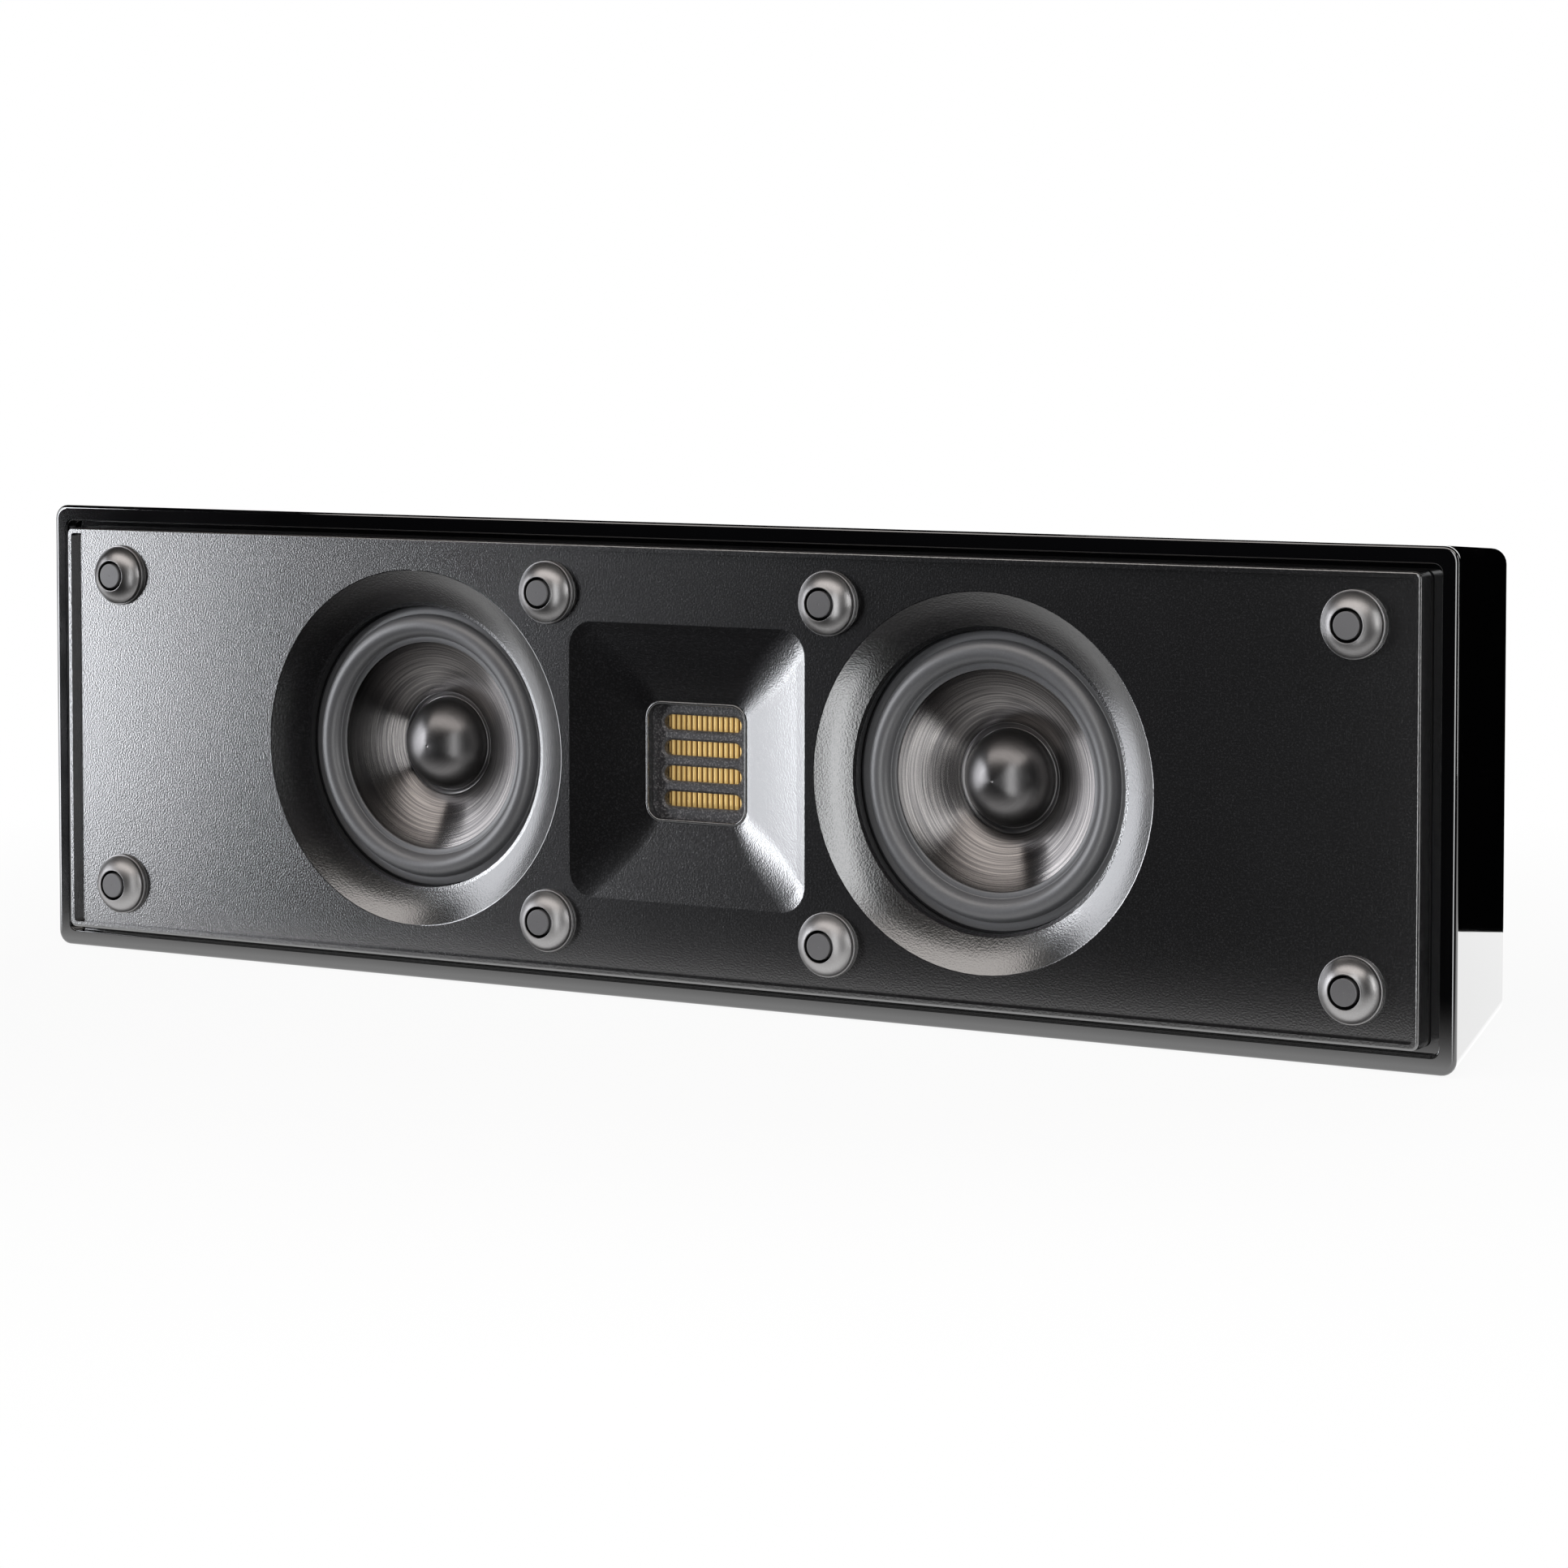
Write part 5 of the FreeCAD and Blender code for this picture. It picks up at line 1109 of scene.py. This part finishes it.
@dataclass
class Studio:
    """White floor with a narrow white table top, dark drapes, soft lights and the white surround.

    The floor is white to the camera all over. To other rays it is white only where the table top lies,
    so that gloss shows a white table before dark drapes.
    """

    table_front: tuple[float, float] = (-0.19, -0.055)
    table_back: float = 0.28
    table_gain: float = 0.25
    floor_grey: float = 0.86
    floor_span: float = 4.0
    even_light: float = 0.25
    reach: float = 2.3
    height: float = 2.6
    cellar: float = 1.2
    glow: float = 0.93
    shadow_ends: tuple[float, float] = (0.30, 0.62)
    lamps: list[Lamp] = field(default_factory=lambda: [
        Lamp("left_key", (-1.35, -1.15, 0.265), (1.0, -1.15, 0.265), (0.24, 0.97), 8.3, (0.94, 0.955, 1.0)),
        Lamp("left_softbox", (-1.35, -0.64, 0.15), (1.0, -0.64, 0.15), (0.78, 1.2), 8.6, (0.94, 0.955, 1.0)),
        Lamp("high_softbox", (0.0, -0.80, 1.15), (0.0, -0.03, 0.08), (2.2, 0.7), 9.8, (1.0, 0.945, 0.91)),
        Lamp("right_card", (0.305, -0.59, 0.055), (0.305, 0.5, 0.055), (0.19, 0.81), 1.55, (0.98, 0.99, 1.0)),
        Lamp("right_strip", (1.35, -0.30, 0.40), (0.2, -0.04, 0.10), (0.12, 0.9), 3.0),
        Lamp("rear_softbox", (0.25, 1.55, 1.00), (0.0, 0.05, 0.08), (2.2, 1.1), 17.0),
    ])

    def sheet(self, name: str, corners: list[Point]) -> bpy.types.Object:
        """A flat stage piece.

        Args:
            name: Its name.
            corners: Its four corners in metres.

        Returns:
            The object.
        """
        piece = mesh_object(name, np.array(corners) / MM, np.array([[0, 1, 2, 3]]))
        return piece

    def white(self) -> bpy.types.Material:
        """Floor white: mostly its own white to the camera, with a share that takes the shadow.

        The white fades in with the square of the way over the table's front edge.

        Returns:
            The material.
        """
        material = bpy.data.materials.new("floor_white")
        material.use_nodes = True
        material.node_tree.nodes.clear()
        wiring = Wiring(material.node_tree)
        rays = wiring.node("LightPath").outputs
        place = wiring.node("TexCoord").outputs["Object"]
        depth = wiring.node("SeparateXYZ", None, Vector=place).outputs["Y"]
        away = wiring.node("VectorMath", {"operation": "LENGTH"}, i0=place).outputs["Value"]
        fade = wiring.math("POWER", wiring.spread(depth, *self.table_front), 2.0)
        table = wiring.math("MULTIPLY", fade, wiring.math("LESS_THAN", depth, self.table_back))
        pale = wiring.math("MAXIMUM", rays["Is Camera Ray"], table)
        mirrored = wiring.math("MAXIMUM", rays["Is Glossy Ray"], rays["Is Transmission Ray"])
        seen = wiring.math("MAXIMUM", rays["Is Camera Ray"], wiring.math("MULTIPLY", table, mirrored))
        matt = wiring.node("BsdfDiffuse", None, Color=(*[self.floor_grey] * 3, 1.0))
        open_air = wiring.node("BsdfTransparent")
        level = wiring.math("ADD", 1.0, wiring.math("MULTIPLY", mirrored, self.table_gain))
        glow = wiring.node("Emission", None, Color=(1.0, 1.0, 1.0, 1.0), Strength=level)
        share = wiring.math("MULTIPLY", seen, wiring.spread(away, *self.shadow_ends, self.glow, 1.0))
        mixed = wiring.node("MixShader", None, i0=share, i1=matt.outputs[0], i2=glow.outputs[0])
        ended = wiring.node("MixShader", None, i0=pale, i1=open_air.outputs[0], i2=mixed.outputs[0])
        result = wiring.node("OutputMaterial")
        material.node_tree.links.new(ended.outputs[0], result.inputs[0])
        return material

    def world(self) -> None:
        """White to the camera, to gloss and through glass, and a low even light otherwise."""
        world = bpy.data.worlds.new("surround")
        bpy.context.scene.world = world
        world.use_nodes = True
        world.node_tree.nodes.clear()
        wiring = Wiring(world.node_tree)
        rays = wiring.node("LightPath").outputs
        seen = wiring.math("MAXIMUM", rays["Is Camera Ray"], rays["Is Glossy Ray"])
        seen = wiring.math("MAXIMUM", seen, rays["Is Transmission Ray"])
        even, white = (wiring.node("Background", None, Color=(1.0, 1.0, 1.0, 1.0), Strength=strength)
                       for strength in (self.even_light, 1.0))
        mixed = wiring.node("MixShader", None, i0=seen, i1=even.outputs[0], i2=white.outputs[0])
        result = wiring.node("OutputWorld")
        world.node_tree.links.new(mixed.outputs[0], result.inputs[0])

    def build(self) -> None:
        """Set up the floor, the drapes, the lamps and the surround."""
        low, high = -self.reach, self.reach
        corners = ((low, low), (high, low), (high, high), (low, high))
        floor = self.sheet("floor", [(self.floor_span * x, self.floor_span * y, 0.0) for x, y in corners])
        floor.data.materials.append(self.white())
        foot, top = -self.cellar, self.height
        sides = ("front_drape", "right_drape", "back_drape", "left_drape")
        walls = zip(sides, corners, corners[1:] + corners[:1])
        drapes = [self.sheet(name, [(*a, foot), (*b, foot), (*b, top), (*a, top)]) for name, a, b in walls]
        for name, level in (("top_drape", top), ("low_drape", foot)):
            drapes.append(self.sheet(name, [(x, y, level) for x, y in corners]))
        cloth = Finish("black_drape", (0.002, 0.002, 0.002), 0.95, Pattern.WEAVE, 200.0, specular=0.0)
        for drape in drapes:
            cloth.dress(drape)
            drape.visible_camera = False
        for lamp in self.lamps:
            lamp.build()
        self.world()
        bpy.context.scene.view_settings.view_transform = "Standard"


@dataclass
class Viewpoint:
    """The photograph's camera: place, direction and framing in pixels of a square picture."""

    place: Point = (0.77484, -1.27126, 0.23347)
    yaw: float = 0.5407
    pitch: float = 0.0541
    focal: float = 5362.0
    middle: tuple[float, float] = (961.15, 673.7)
    picture: float = 1932.0
    sensor: float = 36.0
    nearest: float = 0.01

    def build(self) -> None:
        """Make the camera and let the scene use it."""
        data = bpy.data.cameras.new("camera")
        data.sensor_fit = "HORIZONTAL"
        data.sensor_width = self.sensor
        data.lens = self.focal / self.picture * self.sensor
        data.shift_x = 0.5 - self.middle[0] / self.picture
        data.shift_y = self.middle[1] / self.picture - 0.5
        data.clip_start = self.nearest
        camera = bpy.data.objects.new("camera", data)
        bpy.context.scene.collection.objects.link(camera)
        flat = math.cos(self.pitch)
        way = (-math.sin(self.yaw) * flat, math.cos(self.yaw) * flat, -math.sin(self.pitch))
        aim = (self.place[0] + way[0], self.place[1] + way[1], self.place[2] + way[2])
        camera.matrix_world = facing(self.place, aim)
        bpy.context.scene.camera = camera


def dress_nodes() -> None:
    """Give every CAD node the finish of its material slot."""
    for entry in frame["record"]["subparts"]:
        finish = FINISHES[entry["material_slot"]]
        finish.dress(frame["nodes"][entry["node"]])
        log.info("%s wears %s", entry["node"], finish.name)


def main() -> None:
    """Build the pieces in order, then the studio and the camera."""
    logging.basicConfig(level=logging.INFO, format="%(message)s")
    dress_nodes()
    Cabinet().build()
    GrilleStuds().build()
    HornLining().build()
    for side in Side:
        Woofer(side).build()
    FoldedFilm().build()
    Studio().build()
    Viewpoint().build()


if __name__ == "__main__":
    main()
